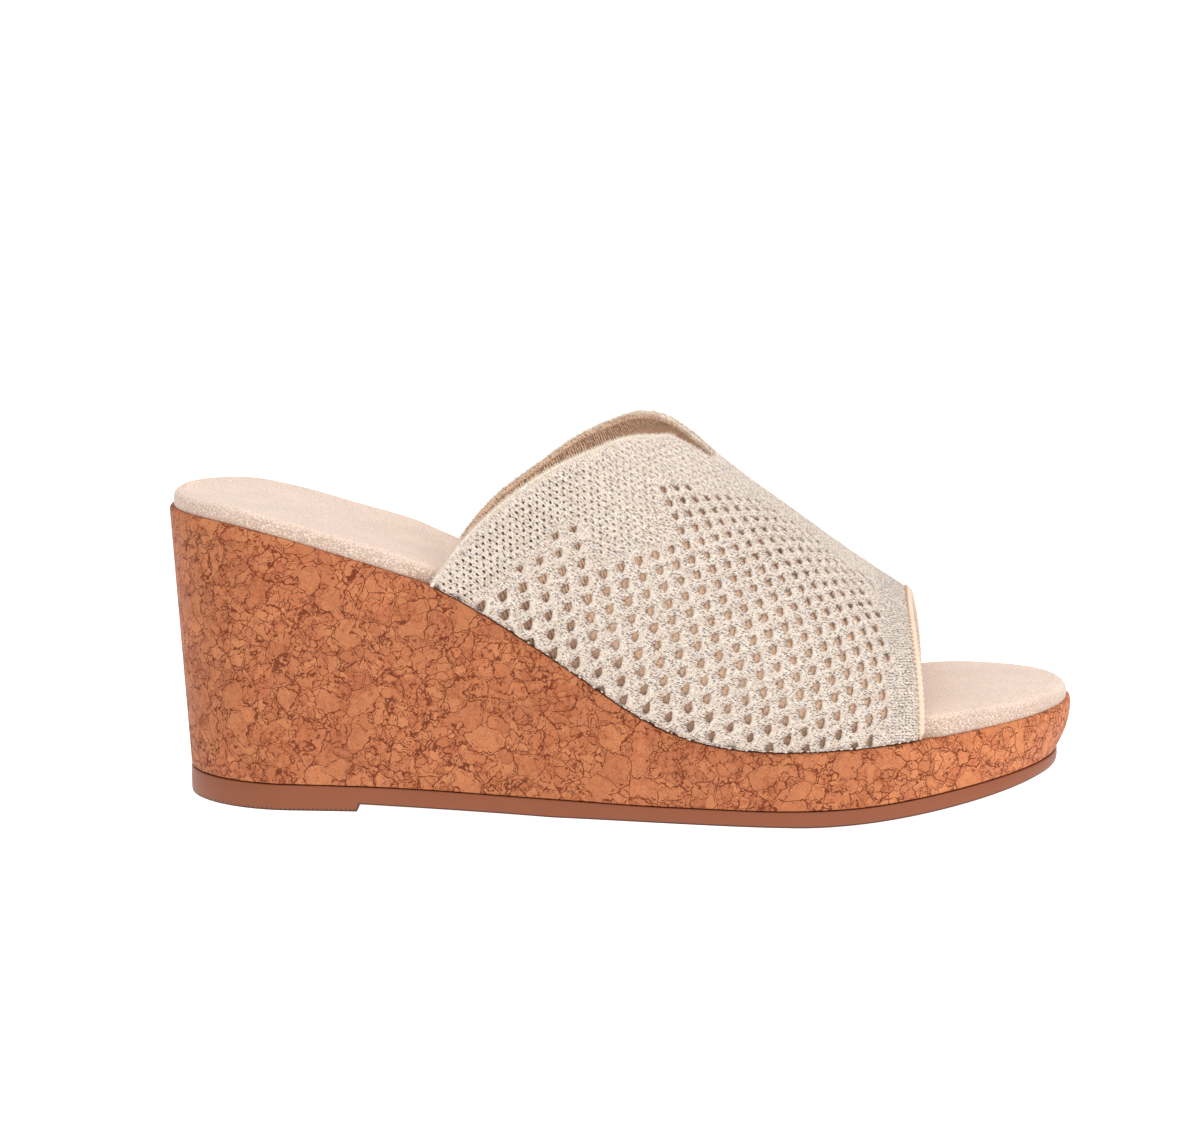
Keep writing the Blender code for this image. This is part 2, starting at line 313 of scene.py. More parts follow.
net, given, result = new_group(
    "dashes",
    [("Vector", "Vector", None), ("Turn", "Float", 0.0), ("Pitch", "Vector", (1.4, 1.0, 1.0)),
     ("Half", "Vector", (0.36, 0.14, 1.0)), ("Jitter", "Float", 0.8)],
    [("Mask", "Float", None)],
)
turning = {"Vector": given["Vector"], "Angle": given["Turn"]}
turned = net.node("VectorRotate", turning, rotation_type="Z_AXIS").outputs[0]
cells = net.vector("DIVIDE", turned, given["Pitch"])
scattered = {"Vector": cells, "Scale": 1.0, "Randomness": given["Jitter"]}
dots = net.node("TexVoronoi", scattered, voronoi_dimensions="2D")
apart = net.vector("MULTIPLY", net.vector("SUBTRACT", cells, dots.outputs["Position"]), given["Pitch"])
apart = net.vector("MULTIPLY", net.vector("DIVIDE", apart, given["Half"]), (1.0, 1.0, 0.0))
reach = net.node("VectorMath", {0: apart}, operation="LENGTH").outputs["Value"]
size = net.node("SeparateColor", {0: dots.outputs["Color"]}).outputs[0]
net.feed(result["Mask"], net.between(net.math("DIVIDE", reach, net.plus(size, 0.45)), 1.2, 0.65))


def soft_tone(net, place, color, patch, grain, depth):
    inputs = {"Vector": place, "Color": color, "Patch": patch, "Grain": grain, "Depth": depth}
    return net.group("soft_tone", inputs).outputs


def dashes(net, pattern, turn, pitch, half, jitter=0.8):
    """Mask of short strokes; pitch and half are (along, across) in millimetres."""
    inputs = {"Vector": pattern, "Turn": turn, "Pitch": (*pitch, 1.0), "Half": (*half, 1.0), "Jitter": jitter}
    return net.group("dashes", inputs).outputs[0]


def add_bump(net, shader, strength, distance, height):
    bump = net.node("Bump", {"Strength": strength, "Distance": distance, "Height": height})
    net.feed(shader["Normal"], bump.outputs[0])


print("node groups:", sorted(group.name for group in bpy.data.node_groups))

# %% [markdown]
# ## Outsole rubber
# The outsole is a moulded rubber sheet in one warm brown, satin and slightly mottled where the mould
# released. Under the heel it is thicker, and that pad ends in a step. The pad's lower edge has the small
# teeth of a non-slip tread, drawn as dark notches of painted shade, and a thin painted contact shadow
# runs along the sheet's lowest edge.

# %% Rubber material
material, net, shader = new_material("outsole_rubber", 0.5)
shader["Specular IOR Level"].default_value = 0.3
place = net.group("millimetres").outputs[0]
tone = soft_tone(net, place, srgb(142, 81, 53), 0.03, 1.6, 0.16)
axes = net.node("SeparateXYZ", {0: place}).outputs
# painted shade: dark notches between the tread's teeth under the heel pad stand in for their shadow
tooth = net.math("PINGPONG", axes[0], 0.62)
under_pad = net.times(net.between(axes[2], 1.1, 0.5), net.between(axes[0], -67.0, -68.0))
notch_shade = net.times(net.between(tooth, 0.36, 0.46), under_pad)
# painted shadow: a thin dark contact line along the outsole's lowest edge, where the field foot is 1
contact_shadow = net.times(net.between(net.field("foot"), 0.4, 0.65), 0.85)
painted_shade = net.larger(contact_shadow, net.times(notch_shade, 0.75))
net.feed(shader["Base Color"], net.mix(painted_shade, tone["Color"], srgb(62, 31, 21)))
net.feed(shader["Roughness"], net.between(tone["Height"], 0.3, 0.7, 0.42, 0.56))
add_bump(net, shader, 0.25, 0.00006, tone["Height"])
RUBBER = material

# %% Foot-shaped layers
ROWS = 420


def sole_point(station, share, insets, height):
    """A point of a sole layer: share runs from -1 on the lateral edge to 1 on the medial edge."""
    station, share = np.broadcast_arrays(station, share)
    heel, side, toe = insets
    inset = side(station) if callable(side) else side
    edge = np.where(share > 0, half_width(station, "medial", inset), half_width(station, "lateral", inset))
    moved = heel + station * (LENGTH - heel - toe) / LENGTH
    return np.stack([moved - LENGTH / 2, swing(station) + share * edge, height(moved, share)], -1)


def sole_layer(levels, columns, rows=ROWS):
    """Points and faces of a closed layer: side walls run through the levels, and both faces are closed."""
    turn = np.linspace(0.0, np.pi, rows + 1)
    station = LENGTH * (1 - np.cos(turn)) / 2
    around = np.concatenate([station, station[-2:0:-1]])
    side = np.concatenate([-np.ones(rows + 1), np.ones(rows - 1)])
    count = len(around)
    points = [sole_point(around, side, *level) for level in levels]
    step = np.arange(count)
    following = (step + 1) % count
    faces = []
    for level in range(len(levels) - 1):
        low, high = level * count, (level + 1) * count
        faces += np.stack([low + step, low + following, high + following, high + step], 1).tolist()
    share = np.linspace(-1.0, 1.0, columns + 1)[1:-1]
    total = count * len(levels)
    for level, upward in ((0, False), (len(levels) - 1, True)):
        inner = sole_point(station[1:-1, None], share[None, :], *levels[level])
        points.append(inner.reshape(-1, 3))
        index = np.zeros((rows + 1, columns + 1), int)
        index[:, 0] = level * count + np.arange(rows + 1)
        index[:, -1] = level * count + (count - np.arange(rows + 1)) % count
        index[1:-1, 1:-1] = total + np.arange(inner.shape[0] * inner.shape[1]).reshape(rows - 1, -1)
        index[0, :], index[-1, :] = index[0, 0], index[-1, 0]
        total += inner.shape[0] * inner.shape[1]
        for i in range(rows):
            for j in range(columns):
                corners = (index[i, j], index[i + 1, j], index[i + 1, j + 1], index[i, j + 1])
                face = list(dict.fromkeys(int(corner) for corner in corners))
                if len(face) > 2:
                    faces.append(face if upward else face[::-1])
    return np.concatenate(points), faces


LEAN = np.array((5.0, 1.4, 3.4))


def lean(share, extra=0.0):
    """Insets at heel, side and toe at a share of the wall's lean, 0 at the rim and 1 at the floor."""
    return tuple(LEAN * share + extra)


# %% Outsole sheet
SPRING_START, TOE_SPRING, SPRING_POWER = 170.0, 10.6, 1.6
GAP_START, GAP_END, GAP_HEIGHT = 53.0, 105.0, 2.0


def tread(station):
    """Height of the underside: the toe spring, and the shallow gap between heel pad and forefoot."""
    past = np.clip((station - SPRING_START) / (LENGTH - SPRING_START), 0.0, 1.0)
    gap = GAP_HEIGHT * (1 - (station - GAP_START) / (GAP_END - GAP_START))
    return TOE_SPRING * past**SPRING_POWER + np.where((station > GAP_START) & (station < GAP_END), gap, 0.0)


def joint(station, share):
    return sole("seam", station) - 0.3


outsole_levels = [
    (lean(1.0, 0.5), lambda s, share: tread(s)),
    (lean(1.0, 0.16), lambda s, share: tread(s) + 0.16),
    (lean(1.0, 0.0), lambda s, share: tread(s) + 0.8),
    (lean(1.0, -0.05), lambda s, share: 0.5 * (tread(s) + joint(s, share))),
    (lean(1.0, 0.0), lambda s, share: joint(s, share) - 0.3),
    (lean(1.0, 0.08), lambda s, share: joint(s, share) - 0.06),
    (lean(1.0, 0.4), joint),
]
points, faces = sole_layer(outsole_levels, 16)
# the two lowest rows of the wall, where the rubber gets its painted contact shadow
foot = np.zeros(len(points))
foot[: 4 * ROWS] = 1.0
outsole = new_piece("outsole_sheet", points, faces, RUBBER, fields={"foot": foot})
report(outsole)

# %% [markdown]
# ## Cork-covered wedge
#
# The wedge is a light foam core wrapped in a sheet of agglomerated cork: granules of bark, three to twelve
# millimetres across, pressed and glued, then sliced thin. Each granule has its own tone, thin dark lines of
# bark run between them, and clusters of fine debris fill the spaces. The wrap is satin, and its rim is
# rounded and a little lighter.

# %% Cork material
net, given, result = new_group(
    "cork_granules",
    [("Vector", "Vector", None), ("Size", "Float", 7.0), ("Seam", "Float", 0.3), ("Broken", "Float", 0.4)],
    [("Tone", "Float", None), ("Second", "Float", None), ("Crack", "Float", None)],
)
scale = net.math("DIVIDE", 1.0, given["Size"])
wander = net.noise(given["Vector"], net.times(scale, 0.9), 2.0).outputs["Color"]
shift = net.scaled(net.vector("SUBTRACT", wander, (0.5, 0.5, 0.5)), net.times(given["Size"], 1.15))
jag = net.noise(given["Vector"], 0.9, 3.0, 0.6).outputs["Color"]
shift = net.vector("ADD", shift, net.scaled(net.vector("SUBTRACT", jag, (0.5, 0.5, 0.5)), 1.2))
warped = net.vector("ADD", given["Vector"], shift)
cell = net.voronoi(warped, scale).outputs["Color"]
edge = net.voronoi(warped, scale, "DISTANCE_TO_EDGE").outputs["Distance"]
channels = net.node("SeparateColor", {0: cell}).outputs
gaps = net.node("SeparateColor", {0: net.noise(given["Vector"], 0.45, 3.0, 0.6).outputs["Color"]}).outputs
opened = net.between(gaps[0], given["Broken"], net.plus(given["Broken"], 0.14))
away = net.math("DIVIDE", net.times(edge, given["Size"]), given["Seam"])
beside = net.math("ABSOLUTE", net.less(away, 2.4))
doubled = net.times(net.between(beside, 0.5, 0.25), net.between(gaps[1], 0.54, 0.6))
line = net.times(net.between(away, 0.66, 0.34), opened)
net.feed(result["Tone"], channels[0])
net.feed(result["Second"], channels[1])
net.feed(result["Crack"], net.larger(line, doubled))

material, net, shader = new_material("cork_cover", 0.55)
shader["Specular IOR Level"].default_value = 0.12
place = net.group("millimetres").outputs[0]
shifted = net.vector("ADD", place, (37.0, 11.0, 5.0))
GRANULES = ((place, 6.4, 0.26, 0.34), (shifted, 3.1, 0.23, 0.38), (shifted, 1.5, 0.17, 0.4))
large, middle, fine = (
    net.group("cork_granules", {"Vector": vector, "Size": size, "Seam": seam, "Broken": broken}).outputs
    for vector, size, seam, broken in GRANULES
)
crumbled = net.between(large["Second"], 0.26, 0.3, 0.3, 1.0)
debris = net.between(net.noise(place, 0.16, 3.0, 0.6).outputs[0], 0.5, 0.62)
crack = net.larger(large["Crack"], net.times(middle["Crack"], crumbled))
crack = net.larger(crack, net.times(net.times(fine["Crack"], debris), 0.6))
granule = net.node("Mix", {0: crumbled, 2: large["Tone"], 3: middle["Tone"]}, data_type="FLOAT").outputs[0]
base = net.mix(granule, srgb(184, 111, 74), srgb(199, 127, 85))
red = net.times(net.between(middle["Second"], 0.6, 0.9), crumbled)
reddish = net.plus(net.times(red, 0.35), net.times(debris, 0.35))
base = net.mix(reddish, base, srgb(168, 92, 58))
tone = soft_tone(net, place, base, 0.08, 1.5, 0.3)
fleck = net.between(net.noise(place, 1.3, 3.0, 0.7).outputs[0], 0.66, 0.7)
# painted light: the cork grows lighter towards the toe, where the key light falls more strongly; grit carries
# it from here on
painted_toe_light = net.between(net.node("SeparateXYZ", {0: place}).outputs[0], 40.0, 112.0, 0.97, 1.2)
grit = net.between(net.noise(place, 2.4, 2.0, 0.7).outputs[0], 0.3, 0.7, 0.88, 1.12)
grit = net.times(grit, painted_toe_light)
painted = net.mix(net.times(fleck, 0.5), net.scaled(tone["Color"], grit), srgb(120, 58, 34))
painted = net.mix(net.times(crack, 0.9), painted, srgb(104, 42, 20))
net.feed(shader["Base Color"], painted)
net.feed(shader["Roughness"], net.between(granule, 0.0, 1.0, 0.5, 0.64))
relief = net.less(net.times(tone["Height"], 0.3), crack)
add_bump(net, shader, 0.5, 0.00012, relief)
CORK = material

# %% Wedge cover
RIM_ROUND = 1.0
BELLY = np.array((0.5, 0.4, 0.2))


def wall(share):
    """Insets of the wall at a share of its height, from the belly's curve."""
    down = 1 - share
    bow = BELLY * 4 * down * (1 - down) + down * (2 * down - 1)
    return tuple(LEAN * bow)


def wall_height(share):
    return lambda s, _: sole("seam", s) + 0.6 + share * (sole("rim", s) - RIM_ROUND - sole("seam", s) - 0.6)


def rounded_rim(angle):
    inset = RIM_ROUND * (1 - np.cos(angle))
    return (lean(0.0, inset), lambda s, _: sole("rim", s) - RIM_ROUND * (1 - np.sin(angle)))


wedge_levels = [
    (lean(1.0, 0.35), lambda s, _: sole("seam", s)),
    (lean(1.0, 0.1), lambda s, _: sole("seam", s) + 0.2),
]
wedge_levels += [(wall(share), wall_height(share)) for share in np.linspace(0.0, 1.0, 12)]
wedge_levels += [rounded_rim(angle) for angle in np.radians((22.0, 45.0, 68.0, 90.0))]
wedge = new_piece("cork_wedge", *sole_layer(wedge_levels, 20), CORK)
report(wedge)

# %% [markdown]
# ## Footbed
#
# The footbed is a foam pad of about five millimetres, covered in a pale microsuede that is turned over its
# edge. The top is brushed smooth, the turned side shows more of the speckled nap and is painted darker, a
# painted shade for the side that faces away from the light. It is cupped under the heel, narrower where
# the vamp comes down beside it, and the cover lies in slight waves because it was stretched over the foam
# by hand.

# %% Microsuede material
material, net, shader = new_material("footbed_suede", 0.9, sheen=0.25)
place = net.group("millimetres").outputs[0]
# the pad's side gets a stronger speckle of nap and a darker colour, which is painted shade
side = net.field("side")
speckle = net.between(side, 0.0, 1.0, 0.75, 0.95)
cover = net.mix(side, srgb(230, 203, 184), srgb(201, 173, 154))
nap = net.group("nap", {
    "Vector": place, "Color": cover, "Light": srgb(248, 234, 222), "Dark": srgb(178, 150, 132),
    "Speckle": speckle,
})
net.feed(shader["Base Color"], nap.outputs["Color"])
add_bump(net, shader, 0.35, 0.00012, nap.outputs["Height"])
SUEDE = material

# %% Footbed pad
PAD_ROUND = 2.6
PAD_INSET, PAD_INSET_AT_VAMP = 1.1, 3.2
VAMP_BEGINS, VAMP_ENDS = (63.5, 69.5), (202.6, 208.6)
HEEL_HOLLOW, TOE_CROWN = 1.2, 0.8


def pad_inset(station):
    """Inset of the footbed from the wedge's rim: it is narrower beside the vamp."""
    beside = smooth_step(station, *VAMP_BEGINS) * (1 - smooth_step(station, *VAMP_ENDS))
    return PAD_INSET + (PAD_INSET_AT_VAMP - PAD_INSET) * beside


def pad_insets(extra):
    return (PAD_INSET + extra, lambda s: pad_inset(s) + extra, PAD_INSET + extra)


def pad_edge(station):
    return sole("rim", station) + sole("pad", station)


def pad_wave(station):
    """Slight waves of the stretched cover along the edge."""
    return 0.16 * np.sin(station / 7.3) + 0.1 * np.sin(station / 3.1 + 1.7)


def pad_top(station, share):
    hollow = HEEL_HOLLOW * (1 - smooth_step(station, 50.0, 110.0))
    crown = TOE_CROWN * smooth_step(station, 150.0, 200.0)
    wave = 0.5 * pad_wave(station) * np.abs(share) ** 3
    return pad_edge(station) + (crown - hollow) * (1 - share**2) + wave


def pad_level(angle):
    """One line of the rounded edge, from the side at 0 to the top at 90 degrees."""
    inset = PAD_ROUND * (1 - np.cos(angle))
    drop = PAD_ROUND * (1 - np.sin(angle))
    return (pad_insets(inset), lambda s, _: pad_edge(s) - drop + 0.5 * pad_wave(s) * np.sin(angle))


pad_levels = [
    (pad_insets(0.12), lambda s, _: sole("rim", s) + 0.03),
    (pad_insets(0.04), lambda s, _: sole("rim", s) + 0.25),
    (pad_insets(0.0), lambda s, _: sole("rim", s) + 0.9),
]
pad_levels += [pad_level(angle) for angle in np.radians(np.linspace(0.0, 78.0, 9))]
pad_levels += [(pad_insets(PAD_ROUND), pad_top)]
pad_points, pad_faces = sole_layer(pad_levels, 40)
loop = 2 * ROWS
# 1 on the pad's side and fading over the rounding, where the suede is speckled more and painted with shade
pad_side = np.zeros(len(pad_points))
pad_side[: 6 * loop] = 1.0
pad_side[6 * loop : 9 * loop] = np.repeat((0.8, 0.5, 0.2), loop)
footbed = new_piece("footbed", pad_points, pad_faces, SUEDE, fields={"side": pad_side})
report(footbed)

# %% [markdown]
# ## The vamp's surface
#
# The vamp is knitted flat and lasted over the foot, so its rows of stitches run down the instep and across
# it. The surface is an arch at every station, a superellipse from rim to rim. On it lie the knit's own
# coordinates: p runs along the instep, q is the distance round the arch from the ridge. A table turns (p,
# q) back into station and turn.

# %% Vamp surface and knit coordinates
# station, height of the instep line, power of the superellipse
UPPER_SECTIONS = np.array((
    (70.0, 190.0, 2.0),
    (100.0, 145.0, 2.0),
    (130.0, 108.6, 2.0),
    (149.0, 90.6, 2.0),
    (165.0, 78.7, 2.05),
    (180.0, 67.6, 2.15),
    (205.0, 50.6, 2.3),
))
# turn from the sole up to the ridge, station of the topline on the lateral and on the medial side
COLLAR_CUT = np.array((
    (0.0, 72.5, 73.5),
    (10.0, 83.2, 84.3),
    (20.0, 93.8, 95.4),
    (32.0, 105.4, 106.3),
    (45.0, 116.7, 116.6),
    (56.0, 124.7, 123.8),
    (67.0, 132.5, 130.6),
    (73.0, 136.6, 134.2),
    (79.0, 144.0, 138.4),
    (90.0, 146.6, 146.6),
))
TOE_AT_RIDGE, TOE_SIDE_REACH = 197.4, 3.2
VAMP_INSET, VAMP_FOOT = 0.5, 0.3
INSTEP_SLOPE = np.radians(35.5)
DOWN_INSTEP = np.array((np.cos(INSTEP_SLOPE), 0.0, -np.sin(INSTEP_SLOPE)))


def collar(turn):
    """Station of the topline at a turn from 0 (lateral sole) over 90 (ridge) to 180 (medial sole)."""
    folded = np.minimum(turn, 180.0 - turn)
    lateral = spline(COLLAR_CUT[:, 0], COLLAR_CUT[:, 1], folded)
    return np.where(turn <= 90.0, lateral, spline(COLLAR_CUT[:, 0], COLLAR_CUT[:, 2], folded))


def toe_opening(turn):
    return TOE_AT_RIDGE + TOE_SIDE_REACH * np.cos(np.radians(turn)) ** 2


def vamp_point(station, turn):
    station, turn = np.broadcast_arrays(np.asarray(station, float), np.asarray(turn, float))
    lateral = turn <= 90.0
    power = 2 / spline(UPPER_SECTIONS[:, 0], UPPER_SECTIONS[:, 2], station)
    foot = sole("rim", station) + VAMP_FOOT
    rise = spline(UPPER_SECTIONS[:, 0], UPPER_SECTIONS[:, 1], station) - foot
    lateral_half, medial_half = (half_width(station, name, VAMP_INSET) for name in ("lateral", "medial"))
    spread = np.where(lateral, lateral_half, medial_half)
    across = np.abs(np.cos(np.radians(turn))) ** power
    up = np.maximum(np.sin(np.radians(turn)), 0.0) ** power
    side = swing(station) + np.where(lateral, -1, 1) * spread * across
    return np.stack([station - LENGTH / 2, side, foot + rise * up], -1)


def unit(vector):
    return vector / np.linalg.norm(vector, axis=-1, keepdims=True)


def vamp_normal(station, turn):
    turn = np.clip(turn, 1.5, 178.5)
    along = vamp_point(station + 0.3, turn) - vamp_point(station - 0.3, turn)
    round_ = vamp_point(station, turn + 0.4) - vamp_point(station, turn - 0.4)
    return unit(np.cross(along, round_))


STATIONS = np.linspace(45.0, 226.0, 725)
TURNS = np.linspace(0.0, 180.0, 361)
PLANE_STEP, ROUND_STEP = 0.5, 0.25
PLANES = np.arange(-84.0, 58.0, PLANE_STEP)
ROUNDS = np.arange(-100.0, 100.1, ROUND_STEP)
along = vamp_point(STATIONS[:, None], TURNS[None, :]) @ DOWN_INSTEP
station_at = np.stack([np.interp(PLANES, along[:, j], STATIONS) for j in range(len(TURNS))], 1)
arch = vamp_point(station_at, TURNS[None, :])
length = np.cumsum(np.linalg.norm(np.diff(arch, axis=1), axis=2), 1)
length = np.concatenate([np.zeros((len(PLANES), 1)), length], 1)
length -= length[:, [len(TURNS) // 2]]
turn_table = np.stack([np.interp(ROUNDS, length[i], TURNS) for i in range(len(PLANES))])
station_table = np.stack([np.interp(turn_table[i], TURNS, station_at[i]) for i in range(len(PLANES))])


def knit_to_vamp(p, q):
    """Station and turn of knit coordinates, read from the table."""
    i = np.clip((p - PLANES[0]) / PLANE_STEP, 0, len(PLANES) - 1.001)
    j = np.clip((q - ROUNDS[0]) / ROUND_STEP, 0, len(ROUNDS) - 1.001)
    row, column = i.astype(int), j.astype(int)
    a, b = i - row, j - column

    def read(table):
        low = table[row, column] * (1 - b) + table[row, column + 1] * b
        high = table[row + 1, column] * (1 - b) + table[row + 1, column + 1] * b
        return low * (1 - a) + high * a

    return read(station_table), read(turn_table)


low, high = (np.array(corner) * 1000 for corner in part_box("upper"))
ridge = vamp_point(np.array((COLLAR_CUT[-1, 1], TOE_AT_RIDGE)), np.array((90.0, 90.0)))
print("vamp node top", high[2].round(2), "ridge from", ridge[0].round(1), "to", ridge[1].round(1))

# %% [markdown]
# ## The knit's repeat
#
# Eyelets stand in a slanted lattice: a counts along the rows, b counts the rows downwards. The rule below
# gives their places on the vamp as (p, q) in millimetres: one step along a row, one step to the next row,
# and a bend, because the knit is drawn tighter over the ridge and stretched towards the hem and the heel.
# Its values were set by laying the lattice over the photo. Beyond the field the rule goes on
# straight, so that the sheet never folds. The knitter's chart says which places of the lattice are open:
# for each row, the first and last eyelet of each run.

# %% Chart of the eyelets
MIDDLE_CELL = (5.0, 0.0)
MIDDLE_PLACE = (-13.5, -51.4)
ALONG_ROW = (2.55, 3.6)
NEXT_ROW = (3.3, -3.2)
ALONG_BEND = (-0.02, -0.06)
NEXT_BEND = (0.0, -0.08)
TWIST = (-0.01, 0.09)
HEEL_STRETCH = (0.0, -0.06)
BEND_REACH = 10.0
OPEN_RUNS = {
    -8: ((5, 7),), -7: ((-2, -1), (5, 13)), -6: ((-4, -1), (5, 14)), -5: ((-6, -1), (5, 15)),
    -4: ((-5, 16),), -3: ((-5, 16),), -2: ((-4, 17),), -1: ((-3, 17),), 0: ((-2, 18),), 1: ((-2, 18),),
    2: ((-1, 16),), 3: ((0, 16),), 4: ((1, 16),), 5: ((2, 15),), 6: ((2, 15),), 7: ((4, 15),),
    8: ((6, 14),), 9: ((7, 14),), 10: ((9, 14),), 11: ((11, 13),),
}
A_RANGE, B_RANGE = range(-17, 30), range(-22, 17)


def chart(a, b):
    """Knit coordinates (p, q) of a place in the lattice."""
    along, down = a - MIDDLE_CELL[0], b - MIDDLE_CELL[1]
    near_along, near_down = (np.clip(count, -BEND_REACH, BEND_REACH) for count in (along, down))
    along_square = 2 * near_along * along - near_along**2
    down_square = 2 * near_down * down - near_down**2
    terms = (
        (1.0, MIDDLE_PLACE), (along, ALONG_ROW), (down, NEXT_ROW),
        (along_square, ALONG_BEND), (down_square, NEXT_BEND),
        (near_along * near_down, TWIST), (along_square * (along < 0), HEEL_STRETCH),
    )
    return tuple(sum(count * pair[axis] for count, pair in terms) for axis in (0, 1))


open_cells = np.zeros((len(A_RANGE), len(B_RANGE)))
for row, runs in OPEN_RUNS.items():
    for first, last in runs:
        open_cells[first - A_RANGE[0] : last - A_RANGE[0] + 1, row - B_RANGE[0]] = 1.0
print("eyelets on one side:", int(open_cells.sum()))

# %% [markdown]
# ## One eyelet
#
# A knitted eyelet is a hole with a soft padded side and a shaded side. One cell of the lattice is cut into
# rings from its border to the hole, and the last rings turn inwards, so that the knit shows its thickness.
# A row of the ring table is how far out the ring lies, its lift, and how much of the pad and of the rim's
# painted shade it carries.

# %% Shape of one eyelet
LATTICE = np.array(((5.5, 2.2), (0.8, -4.4)))
EYELET_OUTLINE = np.array((
    (0.92, 1.7), (1.16, 0.95), (1.16, 0.2), (1.0, -0.5), (0.7, -1.05), (0.05, -1.38),
    (-0.65, -1.15), (-1.0, -0.6), (-1.0, 0.0), (-0.6, 0.6), (-0.1, 1.05), (0.5, 1.45),
))
SIDE_CELLS = 6
RINGS = np.array((
    (1.0, 0.0, 0.0, 0.0),
    (0.62, 0.08, 0.8, 0.1),
    (0.3, 0.12, 1.0, 0.5),
    (0.08, -0.04, 0.6, 1.0),
    (0.0, -0.35, 0.2, 1.0),
    (0.0, -1.25, 0.0, 1.0),
))
PAD_SIDE, SHADED_SIDE = np.radians((-20.0, 150.0))

ticks = np.linspace(-0.5, 0.5, SIDE_CELLS + 1)
low_side, high_side = np.full(SIDE_CELLS, -0.5), np.full(SIDE_CELLS, 0.5)
border = np.concatenate([
    np.stack([ticks[:-1], low_side], 1),
    np.stack([high_side, ticks[:-1]], 1),
    np.stack([ticks[:0:-1], high_side], 1),
    np.stack([low_side, ticks[:0:-1]], 1),
])
border_mm = border @ LATTICE
border_reach = np.linalg.norm(border_mm, axis=1)
border_angle = np.arctan2(border_mm[:, 1], border_mm[:, 0])
outline_angle = np.arctan2(EYELET_OUTLINE[:, 1], EYELET_OUTLINE[:, 0])
outline_order = np.argsort(outline_angle)
outline_reach = np.linalg.norm(EYELET_OUTLINE, axis=1)
hole_reach = np.interp(
    border_angle, outline_angle[outline_order], outline_reach[outline_order], period=2 * np.pi
)

grid_a, grid_b = np.meshgrid(ticks, ticks, indexing="ij")
plain = np.stack([grid_a.ravel(), grid_b.ravel()], 1)
corner = np.arange(len(plain)).reshape(SIDE_CELLS + 1, SIDE_CELLS + 1)
plain_corners = [corner[:-1, :-1], corner[1:, :-1], corner[1:, 1:], corner[:-1, 1:]]
plain_faces = np.stack(plain_corners, -1).reshape(-1, 4)
step = np.arange(len(border))
following = (step + 1) % len(border)
ring_faces = np.concatenate([
    np.stack([k + step, k + following, k + len(border) + following, k + len(border) + step], 1)
    for k in np.arange(len(RINGS) - 1) * len(border)
])
random = np.random.default_rng(11)
pad_side = np.clip(np.cos(border_angle - PAD_SIDE), 0.0, 1.0) ** 1.5
# the shaded side of each eyelet, where its rim dips a little and is painted with shade
shaded_side = np.clip(np.cos(border_angle - SHADED_SIDE), 0.0, 1.0)


def eyelet_cell(size):
    """Places and (lift, pad, rim) of one cell with its hole; no two holes are quite alike."""
    ragged = 1 + 0.07 * random.standard_normal(len(border))
    hole = hole_reach * size * ragged * random.uniform(0.92, 1.1)
    places, marks = [], []
    for out, lift, pad, rim in RINGS:
        reach = hole + out * (border_reach - hole)
        places.append(border * (reach / border_reach)[:, None])
        pad, rim = pad * pad_side, rim * shaded_side
        marks.append(np.stack([lift + 0.3 * pad - 0.1 * rim, pad, rim], 1))
    return np.concatenate(places), np.concatenate(marks)


# %% [markdown]
# ## The sheet of knit
#
# The sheet is put together cell by cell, open or plain, as the chart says, and cells beside each other
# share their border points. The photo shows the outer side only, so the inner side is its mirror image.
# Points past an edge are drawn back onto it, which gives clean borders without cutting a mesh.

# %% Knit mesh, cell by cell
COLLAR_TRIM = 0.05
TOE_TRIM = 0.3
EYELET_AT_RIDGE, EYELET_GROWTH = 0.66, 0.23
HEEL_EYELET = 0.7


def limits(turn):
    return collar(turn) + COLLAR_TRIM, toe_opening(turn) + TOE_TRIM


def side_of_edge(station, turn, beyond_ridge):
    """0 on the vamp; 1 behind the collar, 2 past the toe opening, 3 below the sole line, 4 past the ridge."""
    back, front = limits(turn)
    below = np.minimum(turn, 180.0 - turn) <= 0.02
    return np.select([beyond_ridge, below, station < back, station > front], [4, 3, 1, 2], 0)


cell_places, cell_marks, cell_levels, cell_faces = [], [], [], []
count = 0
for i, a in enumerate(A_RANGE):
    for j, b in enumerate(B_RANGE):
        corners = np.array(((0, 0), (-0.5, -0.5), (0.5, -0.5), (0.5, 0.5), (-0.5, 0.5))) + (a, b)
        p, q = chart(corners[:, 0], corners[:, 1])
        near_q = np.minimum(q, 0.0)
        lateral, medial = (side_of_edge(*knit_to_vamp(p, side * near_q), q > 0) for side in (1, -1))
        if all(outside[0] and (outside == outside[0]).all() for outside in (lateral, medial)):
            continue
        at_other_edge = [(kinds > 0) & (kinds != 3) for kinds in (lateral, medial)]
        if open_cells[i, j] and lateral[0] == 0 and not np.any(at_other_edge):
            size = EYELET_AT_RIDGE + EYELET_GROWTH * smooth_step(-q[0], 8.0, 34.0)
            size *= HEEL_EYELET if a <= -1 and b <= -6 else 1.0
            local, marks = eyelet_cell(size)
            faces, level = ring_faces, np.arange(len(local)) // len(border)
        else:
            local, marks = plain, np.zeros((len(plain), 3))
            faces, level = plain_faces, np.zeros(len(plain))
        cell_places.append(local + (a, b))
        cell_marks.append(marks)
        cell_levels.append(level)
        cell_faces.append(faces + count)
        count += len(local)

